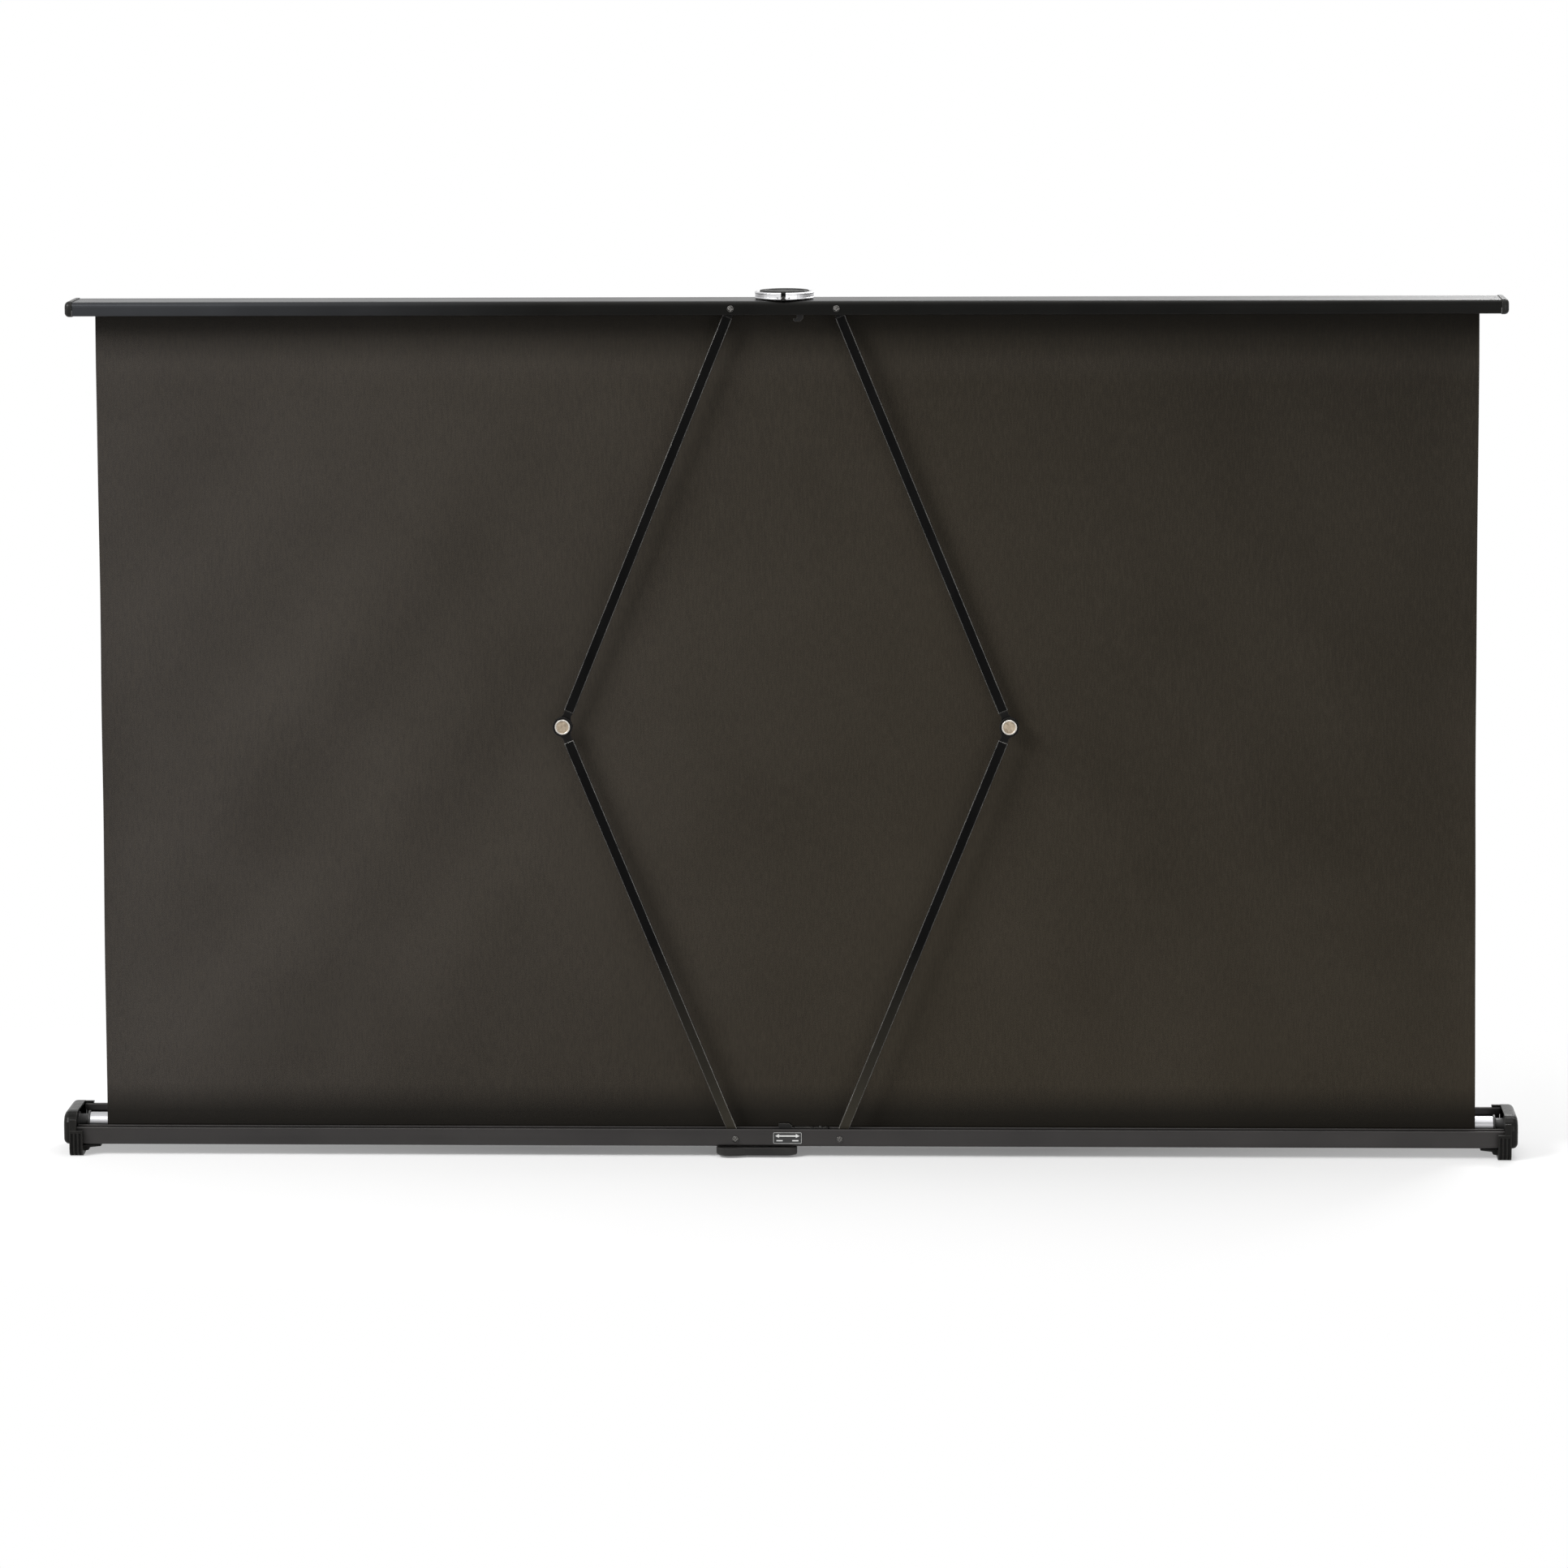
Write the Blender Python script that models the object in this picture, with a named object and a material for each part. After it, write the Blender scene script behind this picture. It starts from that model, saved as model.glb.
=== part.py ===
"""Table-top pull-up projection screen, drawn up on its folding back frame.

Metres, +Z up. The back of the screen faces -Y and the white side faces +Y.
The origin is on the bench, in the middle of the floor area that the screen covers.
Sections across the extrusions are drawn as (u, w): u runs forward from the rear
face and w runs up from the bottom of the piece.
"""

import math

import bmesh
import bpy
from mathutils import Matrix, Vector

# General clearances
GAP = 0.0003
CUT_OVERRUN = 0.002

# Lengths along the screen: the cloth sets the bar, and the bar sets the case
CLOTH_WIDTH = 1.147
CLOTH_SIDE_MARGIN = 0.0195
BAR_SIDE_MARGIN = 0.015
BAR_LENGTH = CLOTH_WIDTH + 2 * CLOTH_SIDE_MARGIN
CASE_LENGTH = BAR_LENGTH + 2 * BAR_SIDE_MARGIN

# Case, a long extrusion with an end cap on each end
CASE_DEPTH = 0.058
CASE_CLEARANCE = 0.009
CASE_WALL = 0.0016
REAR_WALL_HEIGHT = 0.0147
FRONT_WALL_HEIGHT = 0.0245
COMPARTMENT_WIDTH = 0.008
DIVIDER_WALL = 0.0014
FRONT_FLOOR_RADIUS = 0.006
FRONT_TOP_RADIUS = 0.005
REAR_FLOOR_RADIUS = 0.002
RIM_LIP_HEIGHT = 0.0055

# End caps of the case
CAP_WIDTH = 0.011
CAP_PROUD = 0.0006
CAP_HEIGHT = 0.0271
CAP_WALL = 0.0018
CAP_ROUND = 0.0046
CAP_REAR_TOP_RADIUS = 0.012
CAP_FRONT_TOP_RADIUS = 0.007
CAP_FLOOR_RADIUS = 0.0055
CAP_POCKET_DEPTH = 0.0085
CAP_TAB_LENGTH = 0.0074
CAP_TAB_DEPTH = 0.0065
PLUG_LENGTH = 0.014
PLUG_DEPTH = 0.0085
PLUG_HEIGHT = 0.0075
CAP_SCREW_RADIUS = 0.0016
CAP_SCREW_HEAD_RADIUS = 0.003
CAP_SCREW_HEAD_HEIGHT = 0.0014
CAP_SCREW_LENGTH = 0.009

# Top bar, an inverted channel that closes the case
BAR_DEPTH = 0.049
BAR_HEIGHT = 0.0115
BAR_WALL = 0.0016
BAR_REAR_RADIUS = 0.004
BAR_FRONT_RADIUS = 0.0015
BAR_FRONT_SKIRT_HEIGHT = 0.0085
BAR_CAP_WIDTH = 0.006
BAR_CAP_PROUD = 0.0007
BAR_CAP_ROUND = 0.0035
BAR_CAP_CORNER_RADIUS = 0.005
BAR_CAP_COLLAR_LENGTH = 0.004
BAR_CAP_COLLAR_HEIGHT = 0.005
BAR_CAP_ARCH_CLEARANCE = 0.0008

# Folding back frame
ARM_LENGTH = 0.375
ARM_WIDTH = 0.0085
ARM_THICKNESS = 0.0024
ARM_WEB = 0.0008
ARM_FLANGE = 0.001
ARM_LEAN = math.radians(22.2)
PIVOT_HALF_SPACING = 0.0435
LOWER_PIVOT_HEIGHT = 0.0062
UPPER_PIVOT_HEIGHT = 0.0052
EYE_RADIUS = 0.0036
ARM_SETBACK_AT_PIVOT = 0.0075
ARM_SETBACK_AT_KNEE = 0.0135
FITTING_INSERTION = 0.02
FITTING_NECK_HALF_WIDTH = 0.0036
KNEE_HUB_RADIUS = 0.0082
KNEE_HEAD_RADIUS = 0.00635
KNEE_HEAD_RECESS_RADIUS = 0.0053
KNEE_HEAD_HEIGHT = 0.0009
KNEE_HEAD_RECESS = 0.0004
KNEE_SHANK_RADIUS = 0.0025
KNEE_TAIL_RADIUS = 0.004
KNEE_TAIL_HEIGHT = 0.0007

# Screws at the four pivots on the case and the bar
PIVOT_SHANK_RADIUS = 0.0015
PIVOT_HEAD_RADIUS = 0.0028
PIVOT_HEAD_HEIGHT = 0.0011
PIVOT_CROSS_REACH = 0.0015
PIVOT_CROSS_WIDTH = 0.0007
PIVOT_CROSS_DEPTH = 0.0006
PIVOT_BUSH_RADIUS = 0.003
PIVOT_NUT_RADIUS = 0.003
PIVOT_NUT_HEIGHT = 0.002

# Roller, its end plugs, bearings and spring motor
ROLLER_RADIUS = 0.008
ROLLER_TUBE_WALL = 0.0008
ROLLER_END_SETBACK = 0.0065
PLUG_FLANGE_RADIUS = 0.0092
PLUG_FLANGE_WIDTH = 0.0014
PLUG_INSERT_LENGTH = 0.02
PLUG_BORE_RADIUS = 0.0033
BEARING_PIN_RADIUS = 0.003
BEARING_SEAT_RADIUS = 0.0065
SHAFT_RADIUS = 0.0022
SHAFT_LENGTH = 0.26
SPRING_RADIUS = 0.0052
SPRING_WIRE_RADIUS = 0.0006
SPRING_TURNS = 18
SPRING_LENGTH = 0.19

# Cloth and the strip that holds its top hem
CLOTH_THICKNESS = 0.0005
CLAMP_WIDTH = 0.006
CLAMP_HEIGHT = 0.0016

# Latch: tongue on the bar, slide and handle on the case
LATCH_OFFSET = 0.0134
TONGUE_WIDTH = 0.008
TONGUE_NECK_WIDTH = 0.005
TONGUE_THICKNESS = 0.0015
TONGUE_DROP = 0.0056
TONGUE_BARB_HEIGHT = 0.0024
TONGUE_NECK_HEIGHT = 0.004
SLIDE_TRAVEL = 0.004
SLIDE_WIDTH = 0.006
SLIDE_THICKNESS = 0.0014
SLIDE_HEIGHT = 0.0142
SLIDE_LEFT = 0.0073
SLIDE_RIGHT = 0.035
SLIDE_BLOCK_LENGTH = 0.011
SLIDE_BLOCK_HEIGHT = 0.0034
SLIDE_SLOT_WIDTH = 0.003
SLIDE_SLOT_LENGTH = 0.0144
GUIDE_OFFSET = 0.0275
GUIDE_PIN_RADIUS = 0.001
GUIDE_HEAD_RADIUS = 0.0019
GUIDE_HEAD_HEIGHT = 0.0008
GUIDE_POST_RADIUS = 0.0019
HANDLE_LENGTH = 0.0676
HANDLE_RIGHT = 0.008
HANDLE_THICKNESS = 0.0068
HANDLE_LOBE_RADIUS = 0.0092
HANDLE_BAR_RADIUS = 0.0068
HANDLE_PROUD = 0.0032
HANDLE_LOBE_PROUD = 0.0062
HANDLE_FILLET = 0.0018
HANDLE_NECK_LENGTH = 0.006
HANDLE_NECK_WIDTH = 0.004

# Pull ring on the bar
RING_OUTER_RADIUS = 0.0246
RING_WIDTH = 0.0033
RING_HEIGHT = 0.006
RING_LIFT = 0.0006
RING_AXIS_HEIGHT = 0.0021
RING_GAP = 0.0038
RING_CHAMFER = 0.0007
RING_GROOVE_DEPTH = 0.0004
RING_GROOVE_HEIGHT = 0.0026
PEDESTAL_RADIUS = 0.0192
PULL_CAP_RADIUS = 0.0205
PULL_CAP_HEIGHT = 0.0018
LUG_WIDTH = 0.0026
LUG_REACH = 0.0016
PULL_PIN_RADIUS = 0.0007
PULL_PIN_LENGTH = 0.01

# Feet, which swing out on an upright pin near each end of the case
FOOT_END_OFFSET = 0.0115
FOOT_PIVOT_DEPTH = 0.015
FOOT_REACH = 0.125
FOOT_WIDTH = 0.011
FOOT_HEIGHT = 0.0078
FOOT_TOE_WIDTH = 0.009
FOOT_TOE_HEIGHT = 0.005
FOOT_GUSSET_REACH = 0.0195
FOOT_GUSSET_LENGTH = 0.03
FOOT_HEEL_RADIUS = 0.005
GRIP_CLEARANCE = 0.0006
GRIP_THICKNESS = 0.0036
GRIP_HEIGHT = 0.0215
GRIP_TONGUE_HEIGHT = 0.031
GRIP_TONGUE_THICKNESS = 0.0018
GRIP_FIN_COUNT = 4
GRIP_FIN_WIDTH = 0.0012
GRIP_GROOVE_DEPTH = 0.002
GRIP_GROOVE_TOP = 0.0195
FOOT_PAD_RADIUS = 0.0036
FOOT_PAD_HEIGHT = 0.001
FOOT_PAD_INSET = 0.008
FOOT_SCREW_RADIUS = 0.002
FOOT_SCREW_HEAD_RADIUS = 0.0036
FOOT_SCREW_HEAD_HEIGHT = 0.002
FOOT_CROSS_REACH = 0.002
FOOT_CROSS_WIDTH = 0.001
FOOT_CROSS_DEPTH = 0.001
FOOT_SCREW_RECESS = 0.0034
FOOT_SCREW_LENGTH = 0.014

# Proportions, as shares of the size that they shape
SLOT_ROUND_SHARE = 0.9
CAP_SCREW_PLACE_SHARE = 0.6
PAN_TOP_SHARE = 0.55
PAN_SHOULDER_SHARE = 0.9
PAN_SHOULDER_HEIGHT_SHARE = 0.35
NECK_ROOT_SHARE = 0.8
NECK_WAIST_SHARE = 0.92
RIVET_DISH_SHARE = 0.9
RIVET_RIM_SHARE = 0.95
SLIDE_BLOCK_RAMP_SHARE = 0.8
SLIDE_SLOT_ROUND_SHARE = 0.3
GUIDE_HEAD_TOP_SHARE = 0.7
HANDLE_LOBE_END_SHARES = (1.8, 0.9)
HANDLE_THROAT_SHARE = 2.6
PULL_CAP_RIM_SHARE = 0.8
PULL_CAP_DISH_SHARE = 0.77
GUSSET_LOW_SHARES = (0.45, 0.45)
GUSSET_MIDDLE_SHARES = (0.6, 0.75)
GUSSET_EDGE_SHARE = 0.88
GUSSET_REAR_SHARE = 0.8
PAD_SEAT_SHARE = 1.5
FOOT_SCREW_FACE_SHARE = 0.7

# The two ends, as a sign along X and a word for the names
SIDES = ((-1, "left"), (1, "right"))

# Smoothness
ROUND_STEPS = 32
SMALL_ROUND_STEPS = 16
SPRING_TURN_STEPS = 8
ARC_STEPS = 5

# Places that follow from the sizes
CASE_BOTTOM = CASE_CLEARANCE
HALF_CASE = CASE_LENGTH / 2
HALF_BAR = BAR_LENGTH / 2
CHANNEL_HALF = HALF_CASE - CAP_WIDTH - GAP
CAP_SWEEP = math.hypot(FOOT_END_OFFSET - CAP_ROUND, FOOT_PIVOT_DEPTH + CAP_PROUD - CAP_ROUND) + CAP_ROUND
GRIP_INNER = CAP_SWEEP + GRIP_CLEARANCE
REAR_REACH = GRIP_INNER + GRIP_THICKNESS - FOOT_PIVOT_DEPTH
REAR_Y = (REAR_REACH - FOOT_REACH) / 2
FOOT_AXIS_X = HALF_CASE - FOOT_END_OFFSET
FOOT_AXIS_Y = REAR_Y + FOOT_PIVOT_DEPTH

LAYER_REAR_U = CASE_WALL + GAP + KNEE_HEAD_HEIGHT + GAP
LOWER_LAYER_U = LAYER_REAR_U
UPPER_LAYER_U = LOWER_LAYER_U + ARM_THICKNESS + GAP
LOWER_PIVOT_Z = CASE_BOTTOM + LOWER_PIVOT_HEIGHT
FOLDED_BAR_BOTTOM = CASE_BOTTOM + REAR_WALL_HEIGHT + BAR_CAP_PROUD + GAP
OPEN_RISE = 2 * ARM_LENGTH * math.cos(ARM_LEAN)
UPPER_PIVOT_Z = LOWER_PIVOT_Z + OPEN_RISE
BAR_BOTTOM = UPPER_PIVOT_Z - UPPER_PIVOT_HEIGHT
BAR_TOP = BAR_BOTTOM + BAR_HEIGHT
KNEE_X = PIVOT_HALF_SPACING + ARM_LENGTH * math.sin(ARM_LEAN)
KNEE_Z = LOWER_PIVOT_Z + ARM_LENGTH * math.cos(ARM_LEAN)

COMPARTMENT_MID_U = CASE_WALL + COMPARTMENT_WIDTH / 2
DIVIDER_U = CASE_WALL + COMPARTMENT_WIDTH
ROLLER_U = CASE_DEPTH / 2
ROLLER_Z = (CASE_BOTTOM + CASE_WALL + FOLDED_BAR_BOTTOM + BAR_HEIGHT - BAR_WALL) / 2
ROLLER_HALF = HALF_CASE - CAP_WIDTH - ROLLER_END_SETBACK
CLOTH_U = ROLLER_U - ROLLER_RADIUS - GAP - CLOTH_THICKNESS / 2
CLAMP_TOP = BAR_TOP - BAR_WALL - GAP
CLOTH_TOP = CLAMP_TOP - CLAMP_HEIGHT - GAP
SLIDE_Z = CASE_BOTTOM + SLIDE_HEIGHT
HANDLE_TOP = CASE_BOTTOM - GAP * 2
RING_RADIUS = RING_OUTER_RADIUS - RING_WIDTH / 2
RING_CENTRE_U = BAR_DEPTH / 2
RING_AXIS_U = RING_CENTRE_U - RING_RADIUS
RING_AXIS_Z = BAR_TOP + RING_AXIS_HEIGHT


# Mesh helpers

def clear_scene():
    """Remove every object that the file starts with."""
    for obj in list(bpy.data.objects):
        bpy.data.objects.remove(obj, do_unlink=True)


def finish_material(name, colour, roughness, metallic):
    """A Principled material of one colour and finish."""
    material = bpy.data.materials.new(name)
    material.use_nodes = True
    shader = material.node_tree.nodes["Principled BSDF"]
    shader.inputs["Base Color"].default_value = (*colour, 1.0)
    shader.inputs["Roughness"].default_value = roughness
    shader.inputs["Metallic"].default_value = metallic
    material.diffuse_color = (*colour, 1.0)
    return material


def add_object(name, bm, material, smooth=False):
    """Turn a bmesh into a named object with its own material."""
    bmesh.ops.recalc_face_normals(bm, faces=bm.faces)
    mesh = bpy.data.meshes.new(name)
    bm.to_mesh(mesh)
    bm.free()
    mesh.materials.append(material)
    if smooth:
        mesh.shade_smooth()
        mesh.set_sharp_from_angle(angle=math.radians(35))
    obj = bpy.data.objects.new(name, mesh)
    bpy.context.scene.collection.objects.link(obj)
    return obj


def add_pivot(name, x, y, z):
    """An empty on a joint's axis, which the moving pieces hang from."""
    pivot = bpy.data.objects.new(name, None)
    pivot.location = (x, y, z)
    bpy.context.scene.collection.objects.link(pivot)
    return pivot


def hang(obj, pivot):
    """Parent a piece that is drawn in world places to its pivot."""
    obj.parent = pivot
    chain = pivot
    offset = Vector((0, 0, 0))
    while chain is not None:
        offset += chain.location
        chain = chain.parent
    obj.location = obj.location - offset
    return obj


def cut_with(obj, name, bm):
    """Cut a closed shape out of a piece."""
    bmesh.ops.recalc_face_normals(bm, faces=bm.faces)
    mesh = bpy.data.meshes.new(name)
    bm.to_mesh(mesh)
    bm.free()
    cutter = bpy.data.objects.new(name, mesh)
    cutter.hide_render = True
    cutter.display_type = "WIRE"
    bpy.context.scene.collection.objects.link(cutter)
    apply_boolean(obj, cutter, "DIFFERENCE")


def join_with(obj, name, bm):
    """Fuse a closed shape to a piece, so that the two are one solid."""
    bmesh.ops.recalc_face_normals(bm, faces=bm.faces)
    mesh = bpy.data.meshes.new(name)
    bm.to_mesh(mesh)
    bm.free()
    other = bpy.data.objects.new(name, mesh)
    bpy.context.scene.collection.objects.link(other)
    apply_boolean(obj, other, "UNION")


def apply_boolean(obj, other, operation):
    """Run one exact Boolean on a piece and remove the other shape."""
    modifier = obj.modifiers.new(operation, "BOOLEAN")
    modifier.operation = operation
    modifier.solver = "EXACT"
    modifier.object = other
    bpy.context.view_layer.update()
    graph = bpy.context.evaluated_depsgraph_get()
    result = bpy.data.meshes.new_from_object(obj.evaluated_get(graph))
    obj.modifiers.clear()
    old = obj.data
    obj.data = result
    bpy.data.meshes.remove(old)
    bpy.data.objects.remove(other, do_unlink=True)


def arc(centre, radius, start, end, steps=ARC_STEPS):
    """Points on an arc, with angles in degrees from the first axis."""
    points = []
    for index in range(steps + 1):
        angle = math.radians(start + (end - start) * index / steps)
        points.append((centre[0] + radius * math.cos(angle), centre[1] + radius * math.sin(angle)))
    return points


def rounded_outline(low, high, radii, inset=0.0):
    """A rectangle whose four corner radii start at the low corner and run anticlockwise."""
    corners = [(low[0], low[1], 1, 1, 180), (high[0], low[1], -1, 1, 270),
               (high[0], high[1], -1, -1, 0), (low[0], high[1], 1, -1, 90)]
    points = []
    for (x, y, right, up, start), radius in zip(corners, radii):
        centre = (x + right * radius, y + up * radius)
        points += arc(centre, radius - inset, start, start + 90)
    return points


def prism(bm, outline, place, start, end):
    """Sweep a flat outline straight between two distances; place maps (a, b, distance)."""
    near = [bm.verts.new(place(a, b, start)) for a, b in outline]
    far = [bm.verts.new(place(a, b, end)) for a, b in outline]
    bm.faces.new(near)
    bm.faces.new(list(reversed(far)))
    count = len(outline)
    for index in range(count):
        following = (index + 1) % count
        bm.faces.new((near[index], far[index], far[following], near[following]))


def loft(bm, rings, close=True):
    """Skin closed rings of equal length one after another."""
    made = [[bm.verts.new(point) for point in ring] for ring in rings]
    for lower, upper in zip(made, made[1:]):
        count = len(lower)
        for index in range(count):
            following = (index + 1) % count
            bm.faces.new((lower[index], lower[following], upper[following], upper[index]))
    if close:
        bm.faces.new(list(reversed(made[0])))
        bm.faces.new(made[-1])
    return made


def turned(bm, profile, place, steps=ROUND_STEPS, bored=False):
    """Turn a profile of (radius, distance) round an axis; place maps (a, b, distance)."""
    rings = []
    for radius, distance in profile:
        ring = []
        for index in range(steps):
            angle = 2 * math.pi * index / steps
            ring.append(place(radius * math.cos(angle), radius * math.sin(angle), distance))
        rings.append(ring)
    if bored:
        rings.append(rings[0])
        made = [[bm.verts.new(point) for point in ring] for ring in rings[:-1]]
        made.append(made[0])
        for lower, upper in zip(made, made[1:]):
            for index in range(steps):
                following = (index + 1) % steps
                bm.faces.new((lower[index], lower[following], upper[following], upper[index]))
    else:
        loft(bm, rings)


def across(u, w, x):
    """Case section to world: (u, w) at a distance along X."""
    return (x, REAR_Y + u, CASE_BOTTOM + w)


def across_bar(u, w, x):
    """Bar section to world."""
    return (x, REAR_Y + u, BAR_BOTTOM + w)


def along_depth(x, z):
    """A placing for shapes that stand on an axis along Y through (x, z)."""
    return lambda a, b, u: (x + a, REAR_Y + u, z + b)


def upright(x, y):
    """A placing for shapes that stand on a vertical axis through (x, y)."""
    return lambda a, b, z: (x + a, y + b, z)


def sideways(y, z):
    """A placing for shapes on an axis along X through (y, z)."""
    return lambda a, b, x: (x, y + a, z + b)


# Case

def case_section():
    """The channel: rear wall, compartment for the folded arms, divider, roller bay, front wall."""
    wall = CASE_WALL
    half_wall = wall / 2
    half_divider = DIVIDER_WALL / 2
    depth = CASE_DEPTH
    rim_u = BAR_DEPTH + GAP * 2
    lip = half_wall
    points = arc((REAR_FLOOR_RADIUS, REAR_FLOOR_RADIUS), REAR_FLOOR_RADIUS, 180, 270)
    points += arc((depth - FRONT_FLOOR_RADIUS, FRONT_FLOOR_RADIUS), FRONT_FLOOR_RADIUS, 270, 360)
    top = FRONT_WALL_HEIGHT
    points += arc((depth - FRONT_TOP_RADIUS, top - FRONT_TOP_RADIUS), FRONT_TOP_RADIUS, 0, 90)
    points += arc((rim_u + lip, top - lip), lip, 90, 180)
    points += [(rim_u, top - RIM_LIP_HEIGHT), (rim_u + lip, top - RIM_LIP_HEIGHT)]
    points += [(rim_u + lip, top - wall)]
    points += arc((depth - FRONT_TOP_RADIUS, top - FRONT_TOP_RADIUS), FRONT_TOP_RADIUS - wall, 90, 0)
    points += arc((depth - FRONT_FLOOR_RADIUS, FRONT_FLOOR_RADIUS), FRONT_FLOOR_RADIUS - wall, 360, 270)
    points += [(DIVIDER_U + DIVIDER_WALL, wall)]
    points += arc((DIVIDER_U + half_divider, REAR_WALL_HEIGHT - half_divider), half_divider, 0, 180)
    points += [(DIVIDER_U, wall), (wall, wall)]
    points += arc((half_wall, REAR_WALL_HEIGHT - half_wall), half_wall, 0, 180)
    return points


def build_case_channel(finish):
    bm = bmesh.new()
    prism(bm, case_section(), across, -CHANNEL_HALF, CHANNEL_HALF)
    channel = add_object("case_channel", bm, finish, smooth=True)
    for side in (-1, 1):
        bm = bmesh.new()
        hole = PIVOT_SHANK_RADIUS + GAP
        turned(bm, [(hole, -CUT_OVERRUN), (hole, CASE_WALL + CUT_OVERRUN)],
               along_depth(side * PIVOT_HALF_SPACING, LOWER_PIVOT_Z), SMALL_ROUND_STEPS)
        cut_with(channel, "pivot_hole", bm)
        bm = bmesh.new()
        hole = FOOT_SCREW_RADIUS + GAP
        turned(bm, [(hole, CASE_BOTTOM - CUT_OVERRUN), (hole, CASE_BOTTOM + CASE_WALL + CUT_OVERRUN)],
               upright(side * FOOT_AXIS_X, FOOT_AXIS_Y), SMALL_ROUND_STEPS)
        cut_with(channel, "foot_screw_notch", bm)
    bm = bmesh.new()
    half_length = HANDLE_NECK_LENGTH / 2 + SLIDE_TRAVEL + GAP
    half_width = HANDLE_NECK_WIDTH / 2 + GAP
    radius = half_width * SLOT_ROUND_SHARE
    outline = rounded_outline((-half_length, -half_width), (half_length, half_width), [radius] * 4)
    prism(bm, outline, upright(0, REAR_Y + COMPARTMENT_MID_U), CASE_BOTTOM - CUT_OVERRUN,
          CASE_BOTTOM + CASE_WALL + CUT_OVERRUN)
    cut_with(channel, "lock_slot", bm)
    return channel


def cap_outline(inset):
    """The end cap's outline, which is the whole closed case in section."""
    low = (-CAP_PROUD, -CAP_PROUD)
    high = (CASE_DEPTH + CAP_PROUD, CAP_HEIGHT)
    radii = [CAP_FLOOR_RADIUS, CAP_FLOOR_RADIUS, CAP_FRONT_TOP_RADIUS, CAP_REAR_TOP_RADIUS]
    return rounded_outline(low, high, radii, inset)


def shell_rings(outline, side, inner_x, width, fillet, wall, pocket):
    """Rings of a domed cap, from its inner rim out over the end and back into its pocket."""
    rings = [[(inner_x, u, w) for u, w in outline(0)]]
    for index in range(ARC_STEPS + 1):
        angle = math.radians(90 * index / ARC_STEPS)
        x = inner_x + side * (width - fillet + fillet * math.sin(angle))
        rings.append([(x, u, w) for u, w in outline(fillet * (1 - math.cos(angle)))])
    inner = [[(inner_x, u, w) for u, w in outline(wall)]]
    inner.append([(inner_x + side * pocket, u, w) for u, w in outline(wall)])
    return rings, inner


def domed_cap(name, outline, place, side, inner_x, width, fillet, wall, pocket, finish):
    """A closed end cap with filleted outer edges and a pocket on its inner side."""
    rings, inner = shell_rings(outline, side, inner_x, width, fillet, wall, pocket)
    bm = bmesh.new()
    outer_made = loft(bm, [[place(u, w, x) for x, u, w in ring] for ring in rings], close=False)
    inner_made = loft(bm, [[place(u, w, x) for x, u, w in ring] for ring in inner], close=False)
    bm.faces.new(outer_made[-1])
    bm.faces.new(inner_made[-1])
    count = len(outer_made[0])
    for index in range(count):
        following = (index + 1) % count
        bm.faces.new((outer_made[0][index], outer_made[0][following],
                      inner_made[0][following], inner_made[0][index]))
    return add_object(name, bm, finish, smooth=True)


def build_case_cap(name, side, finish):
    """End cap with a plug inside the channel, a lip over the front rim and a bearing seat."""
    inner_x = side * (HALF_CASE - CAP_WIDTH)
    cap = domed_cap(name, cap_outline, across, side, inner_x, CAP_WIDTH, CAP_ROUND,
                    CAP_WALL, CAP_POCKET_DEPTH, finish)
    floor_w = CASE_WALL + GAP
    plug_u = DIVIDER_U + DIVIDER_WALL + GAP
    pocket_x = inner_x + side * (CAP_POCKET_DEPTH + CAP_WALL / 2)
    bm = bmesh.new()
    outline = rounded_outline((plug_u, floor_w), (plug_u + PLUG_DEPTH, floor_w + PLUG_HEIGHT),
                              [CASE_WALL / 2] * 4)
    prism(bm, outline, across, inner_x - side * PLUG_LENGTH, pocket_x)
    join_with(cap, "plug", bm)
    bm = bmesh.new()
    front_plug = CASE_DEPTH - FRONT_FLOOR_RADIUS - GAP
    outline = rounded_outline((front_plug - PLUG_DEPTH / 2, floor_w), (front_plug, floor_w + PLUG_HEIGHT),
                              [CASE_WALL / 2] * 4)
    prism(bm, outline, across, inner_x - side * PLUG_LENGTH, pocket_x)
    join_with(cap, "front_plug", bm)
    bm = bmesh.new()
    rim_w = FRONT_WALL_HEIGHT + GAP
    tab_high = (CASE_DEPTH - CAP_PROUD, CAP_HEIGHT)
    tab_low = (tab_high[0] - CAP_TAB_DEPTH, rim_w)
    outline = [tab_low, (tab_high[0] - CAP_WALL, rim_w),
               (tab_high[0] - CAP_WALL / 2, rim_w + CAP_WALL / 2),
               (tab_high[0] - CAP_TAB_DEPTH / 2, CAP_HEIGHT - CAP_PROUD),
               (tab_low[0], CAP_HEIGHT - CAP_PROUD)]
    prism(bm, outline, across, inner_x - side * CAP_TAB_LENGTH, inner_x + side * CAP_WALL)
    join_with(cap, "rim_tab", bm)
    bm = bmesh.new()
    hole = FOOT_SCREW_RADIUS + GAP
    turned(bm, [(hole, CASE_BOTTOM - CUT_OVERRUN),
                (hole, FOOT_SCREW_RECESS + FOOT_SCREW_LENGTH + GAP)],
           upright(side * FOOT_AXIS_X, FOOT_AXIS_Y), SMALL_ROUND_STEPS)
    cut_with(cap, "foot_screw_hole", bm)
    return cap


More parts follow.
